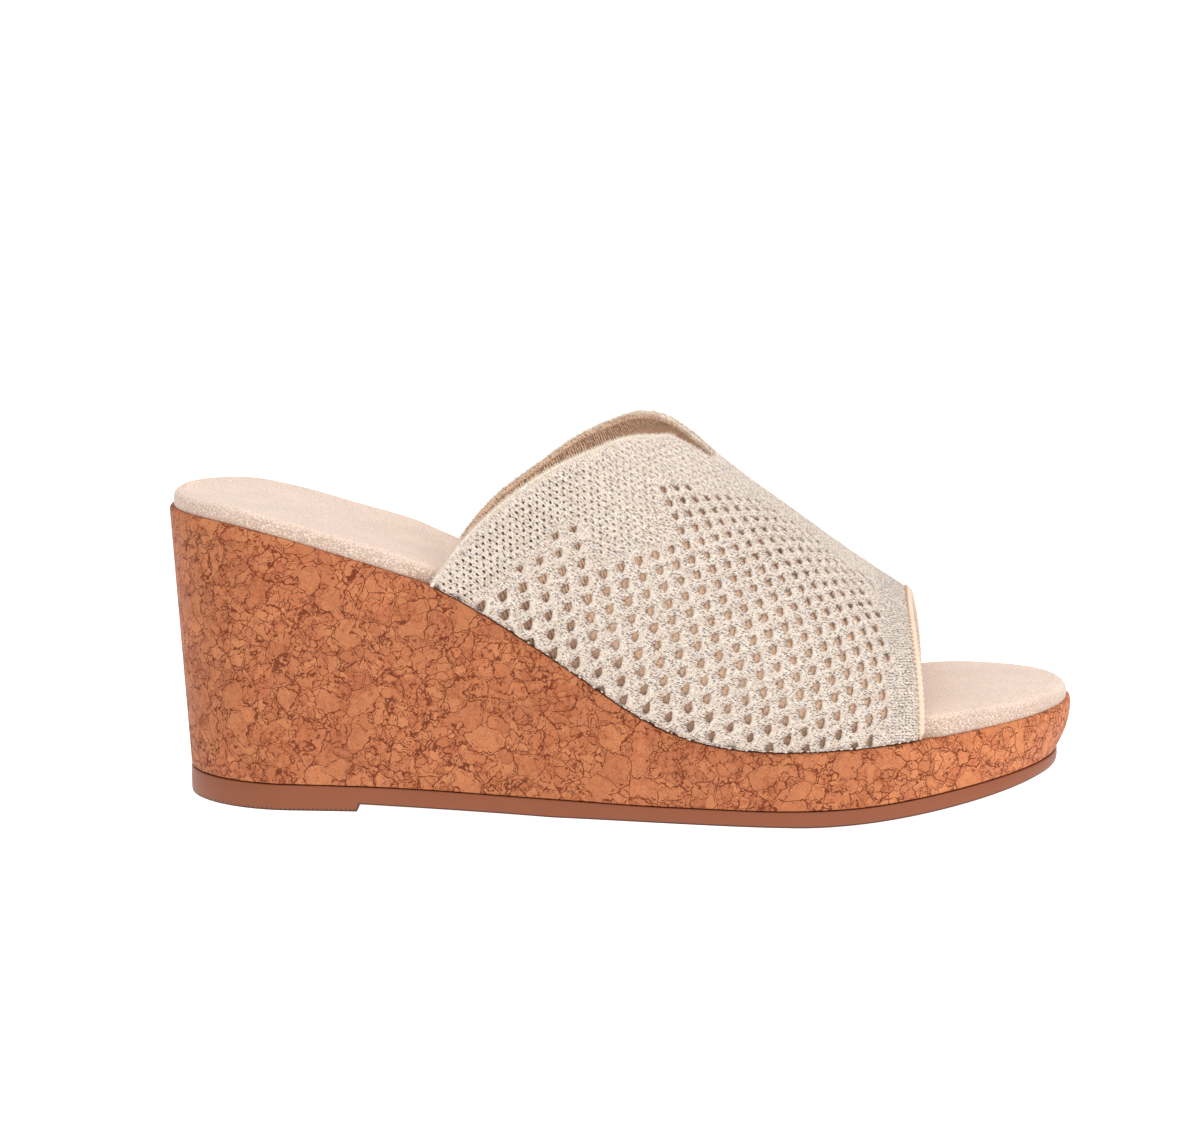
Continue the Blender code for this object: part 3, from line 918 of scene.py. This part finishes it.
lattice_place = np.concatenate(cell_places)
key = np.round(np.column_stack([lattice_place * 4096, np.concatenate(cell_levels)])).astype(np.int64)
_, first, same = np.unique(key, axis=0, return_index=True, return_inverse=True)
lattice_place = lattice_place[first]
lift, pad, rim = np.concatenate(cell_marks)[first].T
faces = same.ravel()[np.concatenate(cell_faces)]

# %% Both sides of the vamp
p, q = chart(lattice_place[:, 0], lattice_place[:, 1])
beyond = q > 0
q = np.minimum(q, 0.0)
count = len(p)
mirrored = np.where(q < 0, np.arange(count) + count, np.arange(count))
faces = np.concatenate([faces[:, ::-1], mirrored[faces]])
station, turn = knit_to_vamp(np.tile(p, 2), np.concatenate([q, -q]))
outside = side_of_edge(station, turn, np.tile(beyond, 2))
faces = faces[~(outside[faces] > 0).all(1)]
station = np.clip(station, *limits(turn))
folded = np.minimum(turn, 180.0 - turn)
lift, pad, rim = (np.tile(mark, 2) for mark in (lift, pad, rim))

surface = vamp_point(station, turn)
above_sole = surface[:, 2] - vamp_point(station, np.where(turn <= 90.0, 0.0, 180.0))[:, 2]
from_eyelet = np.linalg.norm((lattice_place - np.round(lattice_place)) @ LATTICE, axis=1)
# eyelets cut open by the hem: the knit tucks in there, and the yarn is painted with shadow
cut_eyelet = (1 - smooth_step(np.tile(from_eyelet, 2), 0.8, 1.9)) * (1 - smooth_step(above_sole, 0.7, 2.0))
from_collar = station - collar(turn)
tuck = 0.5 * np.clip(1 - above_sole / 1.8, 0.0, 1.0) ** 2 + 0.7 * cut_eyelet
tuck = tuck + 0.42 * (1 - smooth_step(from_collar, 0.0, 1.0))
surface = surface + vamp_normal(station, turn) * (lift - tuck)[:, None]

soft_cells = open_cells.copy()
for shift_a, shift_b in ((1, 0), (-1, 0), (0, 1), (0, -1)):
    soft_cells = np.maximum(soft_cells, 0.6 * np.roll(open_cells, (shift_a, shift_b), (0, 1)))
spot_a = np.clip(lattice_place[:, 0] - A_RANGE[0], 0, len(A_RANGE) - 1.01)
spot_b = np.clip(lattice_place[:, 1] - B_RANGE[0], 0, len(B_RANGE) - 1.01)
cell_a, cell_b = spot_a.astype(int), spot_b.astype(int)
share_a, share_b = spot_a - cell_a, spot_b - cell_b
openwork = (
    soft_cells[cell_a, cell_b] * (1 - share_a) * (1 - share_b)
    + soft_cells[cell_a + 1, cell_b] * share_a * (1 - share_b)
    + soft_cells[cell_a, cell_b + 1] * (1 - share_a) * share_b
    + soft_cells[cell_a + 1, cell_b + 1] * share_a * share_b
)
openwork = np.tile(openwork, 2)
margin = 1 - smooth_step(from_collar, 0.4, 1.4)
front_band = smooth_step(station, toe_opening(turn) - 9.0, toe_opening(turn) - 6.5)
pinholes = smooth_step(from_collar, 1.2, 2.6) * (1 - smooth_step(from_collar, 26.0, 46.0))
pinholes *= (1 - smooth_step(openwork, 0.55, 0.85)) * (0.6 + 0.4 * (1 - smooth_step(folded, 30.0, 70.0)))
pinholes *= 1 - 0.4 * smooth_step(np.tile(lattice_place[:, 0], 2), -3.0, 3.0)

used = np.unique(faces)
renumber = np.zeros(len(surface), int)
renumber[used] = np.arange(len(used))
knit_flat = np.column_stack([np.tile(p, 2), np.tile(q, 2)])
knit = new_piece(
    "knit_vamp", surface[used], renumber[faces].tolist(), None, knit_flat[used],
    {"pinholes": pinholes[used], "front": front_band[used], "openwork": openwork[used], "depth": -lift[used],
     "pad": pad[used], "rim": rim[used], "hem": cut_eyelet[used], "margin": margin[used]},
)
report(knit)

# %% [markdown]
# ## Knit yarn
#
# The yarn is a cream cotton knitted together with a grey thread. A jersey stitch is a V of two leaning
# strands, one V behind the next. The group below folds the flat coordinates into those leaning rows and
# cuts them into strands with a loose cell pattern, so that no two strands are alike. What lies between the
# strands is dark: there the grey thread shows, and the shade in the gaps between strands is painted in.

# %% Stitch pattern
net, given, result = new_group(
    "jersey_stitch",
    [("Vector", "Vector", None), ("Wale", "Float", 1.0), ("Course", "Float", 0.8), ("Wander", "Float", 0.5)],
    [("Away", "Float", None), ("Random", "Float", None), ("Second", "Float", None)],
)
wander = net.noise(given["Vector"], 0.8, 2.0).outputs["Color"]
shift = net.scaled(net.vector("SUBTRACT", wander, (0.5, 0.5, 0.5)), given["Wander"])
axes = net.node("SeparateXYZ", {0: net.vector("ADD", given["Vector"], shift)}).outputs
wale = net.math("DIVIDE", axes[1], given["Wale"])
course = net.math("DIVIDE", axes[0], given["Course"])
slanted = net.plus(course, net.times(net.math("PINGPONG", wale, 0.5), 1.5))
strand = net.node("CombineXYZ", {0: net.times(wale, 2.0), 1: slanted}).outputs[0]
strands = {"Vector": strand, "Scale": 1.0, "Randomness": 0.7}
cell = net.node("TexVoronoi", strands, voronoi_dimensions="2D").outputs["Color"]
strand_edges = net.node("TexVoronoi", strands, voronoi_dimensions="2D", feature="DISTANCE_TO_EDGE")
edge = strand_edges.outputs["Distance"]
channels = net.node("SeparateColor", {0: cell}).outputs
net.feed(result["Away"], edge)
net.feed(result["Random"], channels[0])
net.feed(result["Second"], channels[1])

# %% Yarn material for the vamp
PINHOLE_STEPS = np.array(((0.9, 1.9), (2.0, 0.6)))
PINHOLE_START = (-67.0, -66.0)
PINHOLE_HALF = (0.48, 0.31)

material, net, shader = new_material("vamp_knit", 0.85, sheen=0.15)
shader["Specular IOR Level"].default_value = 0.25
pattern = net.pattern()
place = net.group("millimetres").outputs[0]
axes = net.node("SeparateXYZ", {0: pattern}).outputs
stitch = net.group("jersey_stitch", {"Vector": pattern}).outputs
openwork, front, pinhole_zone = net.field("openwork"), net.field("front"), net.field("pinholes")
pad, rim = net.field("pad"), net.field("rim")

tone = soft_tone(net, place, srgb(255, 241, 227), 0.06, 2.2, 0.1)
yarn = net.mix(net.between(stitch["Second"], 0.2, 1.0), tone["Color"], srgb(238, 216, 196))
silver = net.math("LESS_THAN", stitch["Random"], net.plus(0.08, net.times(front, 0.12)))
yarn = net.mix(net.times(silver, 0.6), yarn, srgb(212, 206, 206))
# Seams and dark strokes between the strands: the grey thread, and painted shade in the gaps between strands
seam = net.between(stitch["Away"], 0.24, 0.02, 0.0, 0.34)
yarn = net.mix(seam, yarn, srgb(150, 128, 112))
gap_noise = net.noise(pattern, 1.1, 2.0, 0.6).outputs[0]
along_rows = dashes(net, pattern, -0.1, (1.15, 0.8), (0.34, 0.11))
across_rows = dashes(net, pattern, -1.2, (1.25, 0.95), (0.33, 0.09), 1.0)
band_rows = dashes(net, pattern, -0.62, (0.9, 0.85), (0.31, 0.13), 0.4)
dash = net.times(along_rows, net.between(pinhole_zone, 0.2, 1.0, 1.0, 0.9))
dash = net.larger(dash, net.times(across_rows, openwork))
dash = net.larger(dash, net.times(band_rows, front))
dash = net.times(dash, net.between(pad, 0.2, 0.7, 1.0, 0.0))
dash = net.times(dash, net.between(net.field("margin"), 0.0, 1.0, 1.0, 0.2))
yarn = net.mix(net.times(dash, 0.84), yarn, srgb(96, 79, 68))
# painted shade on the shaded side of each eyelet's border, where the rim field is high
yarn = net.mix(net.times(rim, net.between(gap_noise, 0.35, 0.6, 0.2, 0.8)), yarn, srgb(132, 88, 62))

# The pinholes are not cut into the mesh: each is a dark spot of painted shade standing for a small opening
apart_p = net.less(axes[0], PINHOLE_START[0])
apart_q = net.less(axes[1], PINHOLE_START[1])
near = []
for to_p, to_q in np.linalg.inv(PINHOLE_STEPS).T:
    along_step = net.plus(net.times(apart_p, to_p), net.times(apart_q, to_q))
    near.append(net.less(net.math("FRACT", along_step), 0.5))
offsets = []
for axis, half in enumerate(PINHOLE_HALF):
    both = [net.times(near[k], PINHOLE_STEPS[k, axis] / half) for k in (0, 1)]
    offsets.append(net.plus(*both))
reach = net.node("CombineXYZ", {0: offsets[0], 1: offsets[1]}).outputs[0]
reach = net.node("VectorMath", {0: reach}, operation="LENGTH").outputs["Value"]
ragged = net.plus(reach, net.between(gap_noise, 0.3, 0.7, -0.35, 0.35))
pinhole = net.times(net.between(ragged, 1.2, 0.6), pinhole_zone)
yarn = net.mix(pinhole, yarn, srgb(76, 50, 38))

# painted shade: the walls inside each eyelet are painted a darker tan
inside = net.between(net.field("depth"), 0.25, 0.9)
yarn = net.mix(net.times(inside, 0.6), yarn, srgb(190, 142, 108))
# painted shadow along the hem, in the eyelets cut open there, where the knit lifts off the cork
yarn = net.mix(net.times(net.field("hem"), 0.6), yarn, srgb(66, 44, 33))
net.feed(shader["Base Color"], yarn)
low = net.larger(net.times(pinhole, 1.4), dash)
relief = net.less(net.between(stitch["Away"], 0.0, 0.4), low)
add_bump(net, shader, 0.7, 0.0003, relief)
YARN = material
knit.data.materials.append(YARN)

# %% [markdown]
# ## Loops along the hem
#
# Where the knit was cut, small ends of yarn stand out between it and the cork. Each is a flattened ball
# here, laid at random along the hem. Hair particles would be finer, but at this size a ball reads as a loop
# and stays a clean solid.

# %% Hem loops
HEM_PITCH = 2.1
LOOP_HALF = np.array((0.6, 0.3, 0.26))
HEM_START, HEM_END = 16.0, 1.0


def ball(bands, sides):
    """Points and faces of a unit ball: one pole, the rings between, and the other pole."""
    heights = np.radians(np.linspace(-90.0, 90.0, bands + 1))[1:-1]
    turns = 2 * np.pi * np.arange(sides) / sides
    rings = [(np.cos(u) * np.cos(v), np.sin(u) * np.cos(v), np.sin(v)) for v in heights for u in turns]
    points = np.array([(0.0, 0.0, -1.0), *rings, (0.0, 0.0, 1.0)])
    top_pole = len(points) - 1
    faces = []
    for side in range(sides):
        following = (side + 1) % sides
        faces.append((0, 1 + following, 1 + side))
        for low in range(1, top_pole - sides, sides):
            faces.append((low + side, low + following, low + sides + following, low + sides + side))
        faces.append((top_pole - sides + side, top_pole - sides + following, top_pole))
    return points, faces


loop_points, loop_faces = ball(5, 10)
points, faces, flat = [], [], []
for foot_turn, floor_turn in ((2.0, 0.0), (178.0, 180.0)):
    first_station = collar(np.array(foot_turn)) + HEM_START
    for at in np.arange(first_station, toe_opening(np.array(foot_turn)) - HEM_END, HEM_PITCH):
        at = at + random.uniform(-0.7, 0.7)
        half = LOOP_HALF * random.uniform(0.5, 1.2, 3)
        here, ahead = vamp_point(np.array((at, at + 0.5)), np.array((floor_turn, floor_turn)))
        along_hem = unit(ahead - here)
        out = vamp_normal(np.array(at), np.array(foot_turn))
        upward = np.cross(along_hem, out)
        upward *= np.sign(upward[2])
        middle = here + upward * random.uniform(0.15, 0.45) - out * 0.05
        start = len(points)
        points += list(middle + loop_points @ (np.stack([along_hem, upward, out]) * half[:, None]))
        flat += list(loop_points[:, :2] * half[:2] + (at, -80.0))
        for face in loop_faces:
            corners = [start + corner for corner in face]
            faces.append(corners if foot_turn > 90 else corners[::-1])
hem = new_piece("hem_loops", points, faces, YARN, np.array(flat))
report(hem)

# %% [markdown]
# ## Lining, collar fold and toe edge
#
# Inside the vamp lies a thin tan lining with slanting ribs, seen through the eyelets and on the far side of
# the collar. The knit is folded over it at the topline, which leaves a pale lip of about two millimetres
# inside. Along the toe opening the edge is bound with a pale rolled strip, held by a row of small tan
# stitches.

# %% Lining
material, net, shader = new_material("tan_lining", 0.9, sheen=0.1)
shader["Specular IOR Level"].default_value = 0.2
place = net.group("millimetres").outputs[0]
pattern = net.pattern()
axes = net.node("SeparateXYZ", {0: pattern}).outputs
diagonal = net.plus(net.times(axes[0], 0.77), net.times(axes[1], 0.64))
rib = net.math("SINE", net.times(diagonal, 2 * np.pi / 0.9))
course = net.math("SINE", net.times(axes[1], 2 * np.pi / 1.1))
weave = net.plus(net.times(rib, 0.75), net.times(course, 0.25))
nap = net.group("nap", {
    "Vector": place, "Color": srgb(255, 220, 186), "Light": srgb(255, 240, 220), "Dark": srgb(160, 104, 72),
    "Speckle": 0.85,
})
furrow = net.times(net.between(weave, 0.3, -0.7, 0.0, 0.7), net.field("ribs"))
ribbed = net.mix(furrow, nap.outputs["Color"], srgb(140, 92, 64))
# painted shadow under the fold's lip: dark strokes on the first rows of lining below the collar
strokes = dashes(net, pattern, 0.9, (0.8, 0.55), (0.36, 0.16))
lip_shadow_strokes = net.times(strokes, net.field("lip_shadow"))
ribbed = net.mix(net.times(lip_shadow_strokes, 0.7), ribbed, srgb(84, 56, 42))
# painted shade near the sole, where the lining lies deep behind the low eyelets
ribbed = net.mix(net.times(net.field("foot"), 0.6), ribbed, srgb(112, 70, 48))
net.feed(shader["Base Color"], ribbed)
add_bump(net, shader, 0.5, 0.0002, weave)
LINING = material


def shell_between(start, end, depths, cells):
    """Points, faces and flat coordinates of a closed shell between two edge lines, a layer for each depth."""
    rows, columns = cells
    share, turn = np.meshgrid(np.linspace(0, 1, rows + 1), np.linspace(0, 180, columns + 1), indexing="ij")
    station = start(turn) + share * (end(turn) - start(turn))
    outer, normal = vamp_point(station, turn), vamp_normal(station, turn)
    size = (rows + 1) * (columns + 1)
    index = np.arange(size).reshape(rows + 1, columns + 1)
    quads = np.stack([index[:-1, :-1], index[:-1, 1:], index[1:, 1:], index[1:, :-1]], -1).reshape(-1, 4)
    points = np.concatenate([(outer + normal * depth).reshape(-1, 3) for depth in depths])
    rim = np.concatenate([index[0, :-1], index[:-1, -1], index[-1, :0:-1], index[:0:-1, 0]])
    following = np.roll(rim, -1)
    wall_faces = np.stack([rim, rim + size, following + size, following], 1)
    faces = np.concatenate([quads, quads[:, ::-1] + size, wall_faces])
    flat = np.stack([station, np.minimum(turn, 180 - turn) * 0.9], -1).reshape(-1, 2)
    return points, faces.tolist(), np.concatenate([flat] * len(depths))


LINING_START = 0.7
LINING_DEPTHS = (-1.3, -1.85)
LINING_CELLS = (90, 160)
points, faces, flat = shell_between(
    lambda turn: collar(turn) + LINING_START, toe_opening, LINING_DEPTHS, LINING_CELLS
)
rows, columns = (count + 1 for count in LINING_CELLS)
rows_from_collar = np.tile(np.repeat(np.arange(rows), columns), 2)
# the first rows below the collar carry the painted shadow under the lip
lip_shadow = 1 - smooth_step(rows_from_collar, 2.0, 5.0)
ribs = 1 - smooth_step(rows_from_collar, 18.0, 26.0)
turn = np.tile(np.linspace(0, 180, columns), 2 * rows)
# 1 near the sole, where the lining is painted with shade
foot = 1 - smooth_step(np.minimum(turn, 180 - turn), 3.0, 12.0)
lining_fields = {"lip_shadow": lip_shadow, "ribs": ribs, "foot": foot}
lining = new_piece("vamp_lining", points, faces, LINING, flat, lining_fields)
report(lining)


# %% Bands along an edge line
def edge_frame(edge, turn):
    """Points of an edge line, the directions off the knit and into the vamp there, and the length walked."""
    line = vamp_point(edge(turn), turn)
    normal = vamp_normal(edge(turn), turn)
    inward = unit(np.cross(unit(np.gradient(line, axis=0)), normal))
    inward *= np.sign(np.einsum("ij,ij->i", inward, vamp_point(edge(turn) + 1.0, turn) - line))[:, None]
    walked = np.concatenate([[0.0], np.cumsum(np.linalg.norm(np.diff(line, axis=0), axis=1))])
    return line, normal, inward, walked


def along_edge(at, walked, *parts):
    """What each part of an edge frame is at a length walked."""
    return [np.array([np.interp(at, walked, column) for column in part.T]) for part in parts]


def edge_band(edge, section, turns=520):
    """Sweeps a closed section along an edge line; its points are (way into the vamp, height off the knit)."""
    turn = np.linspace(0.0, 180.0, turns + 1)
    line, normal, inward, walked = edge_frame(edge, turn)
    section = np.array(section)
    size = len(section)
    points = line[:, None] + inward[:, None] * section[None, :, :1] + normal[:, None] * section[None, :, 1:]
    around = np.concatenate([[0.0], np.cumsum(np.linalg.norm(np.diff(section, axis=0), axis=1))])
    flat = np.stack(np.meshgrid(walked, around, indexing="ij"), -1)
    index = np.arange((turns + 1) * size).reshape(turns + 1, size)
    wrapped = np.concatenate([index, index[:, :1]], 1)
    corners = [wrapped[:-1, :-1], wrapped[:-1, 1:], wrapped[1:, 1:], wrapped[1:, :-1]]
    faces = np.stack(corners, -1).reshape(-1, 4).tolist()
    faces += [index[0][::-1].tolist(), index[-1].tolist()]
    return points.reshape(-1, 3), faces, flat.reshape(-1, 2)


material, net, shader = new_material("fold_knit", 0.85, sheen=0.6)
place = net.group("millimetres").outputs[0]
pattern = net.pattern()
tone = soft_tone(net, place, srgb(255, 239, 219), 0.1, 2.5, 0.12)
strokes = dashes(net, pattern, 0.9, (0.9, 0.7), (0.34, 0.14))
# the fold's inner half takes the lining's tan, and its strokes grow darker there as painted shadow under the
# lip
inner = net.field("inner")
cloth = net.mix(inner, tone["Color"], srgb(246, 211, 180))
stroke = net.times(strokes, net.between(inner, 0.0, 1.0, 0.4, 0.8))
net.feed(shader["Base Color"], net.mix(stroke, cloth, srgb(96, 68, 52)))
add_bump(net, shader, 0.4, 0.0002, tone["Height"])
FOLDED = material

FOLD = ((0.9, -0.5), (0.5, -0.25), (0.2, -0.32), (0.05, -0.6), (0.0, -0.95), (0.1, -1.4),
        (0.35, -1.75), (0.8, -1.98), (1.25, -2.02), (1.5, -1.9), (1.2, -1.4))
points, faces, flat = edge_band(collar, FOLD)
# 0 on the pale outer half of the fold, 1 on its inner half, which is tan and carries painted shadow
inner = smooth_step(-np.array(FOLD)[:, 1], 0.9, 1.5)
inner = np.tile(inner, len(points) // len(FOLD))
fold = new_piece("collar_fold", points, faces, FOLDED, flat, {"inner": inner})
report(fold)

# %% [markdown]
# ## Fuzz on the fold
#
# Cotton yarn is hairy, and against the white ground the collar's outline looks soft. Hair particles could
# make it. Here each hair is a thin three-sided spike, a closed solid that exports like any other mesh.

# %% Fuzz of the yarn
FUZZ_COUNT = 5200
FUZZ_FOOT = 0.1
random = np.random.default_rng(5)
turn = np.linspace(0.0, 180.0, 1801)
line, normal, inward, walked = edge_frame(collar, turn)
points, faces = [], []
for _ in range(FUZZ_COUNT):
    at = random.uniform(0.5, walked[-1] - 0.5)
    spot, up, into = along_edge(at, walked, line, normal, inward)
    depth = random.uniform(0.0, 1.0)
    root = spot + into * (0.15 + 0.4 * abs(depth - 0.5)) - up * (0.1 + 1.6 * depth)
    away = unit(random.normal(0.0, 0.55, 3) - into + up * (0.9 - 1.8 * depth))
    side = unit(np.cross(away, random.normal(0.0, 1.0, 3)))
    other = np.cross(away, side)
    tip = root + away * random.uniform(0.5, 1.3) + side * random.uniform(-0.2, 0.2)
    start = len(points)
    behind, beside = root - side * FUZZ_FOOT * 0.5, other * FUZZ_FOOT * 0.86
    points += [root + side * FUZZ_FOOT, behind + beside, behind - beside, tip]
    faces += [(start, start + 1, start + 3), (start + 1, start + 2, start + 3), (start + 2, start, start + 3),
              (start + 2, start + 1, start)]
fuzz = new_piece("collar_fuzz", points, faces, FOLDED, np.zeros((len(points), 2)))
report(fuzz)

# %% [markdown]
# ## Toe edge
#
# The binding is a strip of finer knit rolled over the cut edge, so it swells a little at each stitch. A
# rounded section is swept along the opening and made thinner at both ends, where the roll meets the sole.
# The stitches are small flattened balls in a row.

# %% Toe edge and its stitches
material, net, shader = new_material("edge_knit", 0.85, sheen=0.2)
place = net.group("millimetres").outputs[0]
pattern = net.pattern()
stitch = net.group("jersey_stitch", {"Vector": pattern, "Wale": 0.8, "Course": 0.6, "Wander": 0.2}).outputs
tone = soft_tone(net, place, srgb(242, 221, 198), 0.12, 1.6, 0.2)
shade = net.between(stitch["Random"], 0.2, 1.0, 0.2, 0.75)
gap = net.times(net.between(stitch["Away"], 0.14, 0.03), shade)
net.feed(shader["Base Color"], net.mix(gap, tone["Color"], srgb(196, 160, 128)))
add_bump(net, shader, 0.5, 0.0002, net.between(stitch["Away"], 0.0, 0.4))
EDGE = material

material, net, shader = new_material("tan_thread", 0.75, sheen=0.1)
place = net.group("millimetres").outputs[0]
tone = soft_tone(net, place, srgb(206, 166, 128), 0.2, 4.0, 0.3)
net.feed(shader["Base Color"], tone["Color"])
THREAD = material

ROLL_HALF = (1.1, 1.2)
ROLL_MIDDLE = 0.95
RIPPLE = 1.5
angles = np.radians(np.arange(0, 360, 24))
across = ROLL_HALF[0] * np.sign(np.cos(angles)) * np.abs(np.cos(angles)) ** 0.75
rise = ROLL_HALF[1] * np.sign(np.sin(angles)) * np.abs(np.sin(angles)) ** 0.75 - 1.0
points, faces, flat = edge_band(lambda turn: toe_opening(turn) + ROLL_MIDDLE, np.stack([across, rise], 1))
rings = points.reshape(-1, len(angles), 3)
walked = flat.reshape(-1, len(angles), 2)[:, 0, 0]
from_end = np.minimum(walked, walked[-1] - walked)
swell = (1 + 0.1 * np.sin(2 * np.pi * walked / RIPPLE)) * (0.3 + 0.7 * smooth_step(from_end, 0.0, 2.5))
centre = rings.mean(1, keepdims=True)
points = (centre + (rings - centre) * swell[:, None, None]).reshape(-1, 3)
toe_edge = new_piece("toe_edge", points, faces, EDGE, flat)
report(toe_edge)

STITCH_PITCH = 1.5
STITCH_HALF = np.array((0.4, 0.3, 0.2))
turn = np.linspace(0.0, 180.0, 721)
line, normal, inward, walked = edge_frame(lambda turn: toe_opening(turn) + 0.1, turn)
stitch_points, stitch_faces = ball(4, 6)
points, faces = [], []
for at in np.arange(1.2, walked[-1] - 1.0, STITCH_PITCH):
    spot, up, into = along_edge(at, walked, line, normal, inward)
    side = np.cross(up, into)
    start = len(points)
    for x, y, z in stitch_points * STITCH_HALF:
        points.append(spot + into * (x + 0.1) + side * (y + 0.25 * x) + up * (z + 0.2))
    faces += [[start + corner for corner in face] for face in stitch_faces]
toe_stitches = new_piece("toe_stitches", points, faces, THREAD)
report(toe_stitches)

# %% [markdown]
# ## Set, light and camera
#
# The photo is a packshot: a white sweep, very soft light from above and from the camera's side, and a long
# lens a little above the shoe. The camera is a pinhole fitted so that the sole's outline falls where the
# photo has it.

# %% Stage and lights
floor_mesh = bpy.data.meshes.new("floor")
FLOOR_HALF = 8.0
floor_corners = [(x * FLOOR_HALF, y * FLOOR_HALF, 0) for x, y in ((-1, -1), (1, -1), (1, 1), (-1, 1))]
floor_mesh.from_pydata(floor_corners, [], [(0, 1, 2, 3)])
floor = bpy.data.objects.new("floor", floor_mesh)
bpy.context.scene.collection.objects.link(floor)
material, _, shader = new_material("white_sweep", 0.9)
shader["Base Color"].default_value = (0.45, 0.45, 0.45, 1)
shader["Emission Color"].default_value = (1, 1, 1, 1)
shader["Emission Strength"].default_value = 1.0
floor_mesh.materials.append(material)

world = bpy.data.worlds.new("studio")
bpy.context.scene.world = world
world.use_nodes = True
world.node_tree.nodes["Background"].inputs["Color"].default_value = (1, 1, 1, 1)
world.node_tree.nodes["Background"].inputs["Strength"].default_value = 0.66


def softbox(name, place, target, size, power):
    light = bpy.data.lights.new(name, "AREA")
    light.shape = "RECTANGLE"
    light.size, light.size_y = size
    light.energy = power
    lamp = bpy.data.objects.new(name, light)
    bpy.context.scene.collection.objects.link(lamp)
    lamp.location = place
    aim = np.array(target) - np.array(place)
    lamp.rotation_euler = Vector(aim).to_track_quat("-Z", "Y").to_euler()


softbox("top", (0.2, -0.1, 1.4), (0, 0, 0.05), (1.2, 1.2), 8.5)
softbox("key", (1.0, -1.3, 0.9), (0, 0, 0.05), (0.9, 0.9), 9.0)

# %% Camera
target = Vector((-0.0054, -MIDDLE * MM, 0.05968))
distance, elevation, yaw = 1.3, np.radians(9.5), np.radians(3.0)
back = Vector((np.sin(yaw) * np.cos(elevation), -np.cos(yaw) * np.cos(elevation), np.sin(elevation)))
camera_data = bpy.data.cameras.new("camera")
camera_data.sensor_width = 36.0
camera_data.sensor_fit = "HORIZONTAL"
camera_data.lens = 145.36
camera = bpy.data.objects.new("camera", camera_data)
bpy.context.scene.collection.objects.link(camera)
camera.location = target + back * distance
camera.rotation_euler = (-back).to_track_quat("-Z", "Y").to_euler()
bpy.context.scene.camera = camera
bpy.context.scene.view_settings.view_transform = "Standard"
print("camera at", [round(value, 4) for value in camera.location])

# %% [markdown]
# ## Joining the part
#
# Nothing on this shoe moves by itself, so every piece rides on the root body. Five of them stand in for
# a node of the CAD part, which is hidden.

# %% Bodies and hidden CAD nodes
PIECES = (
    (outsole, "outsole", "outsole_rubber"),
    (wedge, "wedge", "cork_cover"),
    (footbed, "insole", "footbed_suede"),
    (knit, "upper", "vamp_knit"),
    (hem, None, "vamp_knit"),
    (lining, None, "vamp_knit"),
    (fold, None, "edge_knit"),
    (fuzz, None, "edge_knit"),
    (toe_edge, "toe_binding", "edge_knit"),
    (toe_stitches, None, "edge_knit"),
)
for piece, node, slot in PIECES:
    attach(piece, "root")
    if node:
        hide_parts(node)
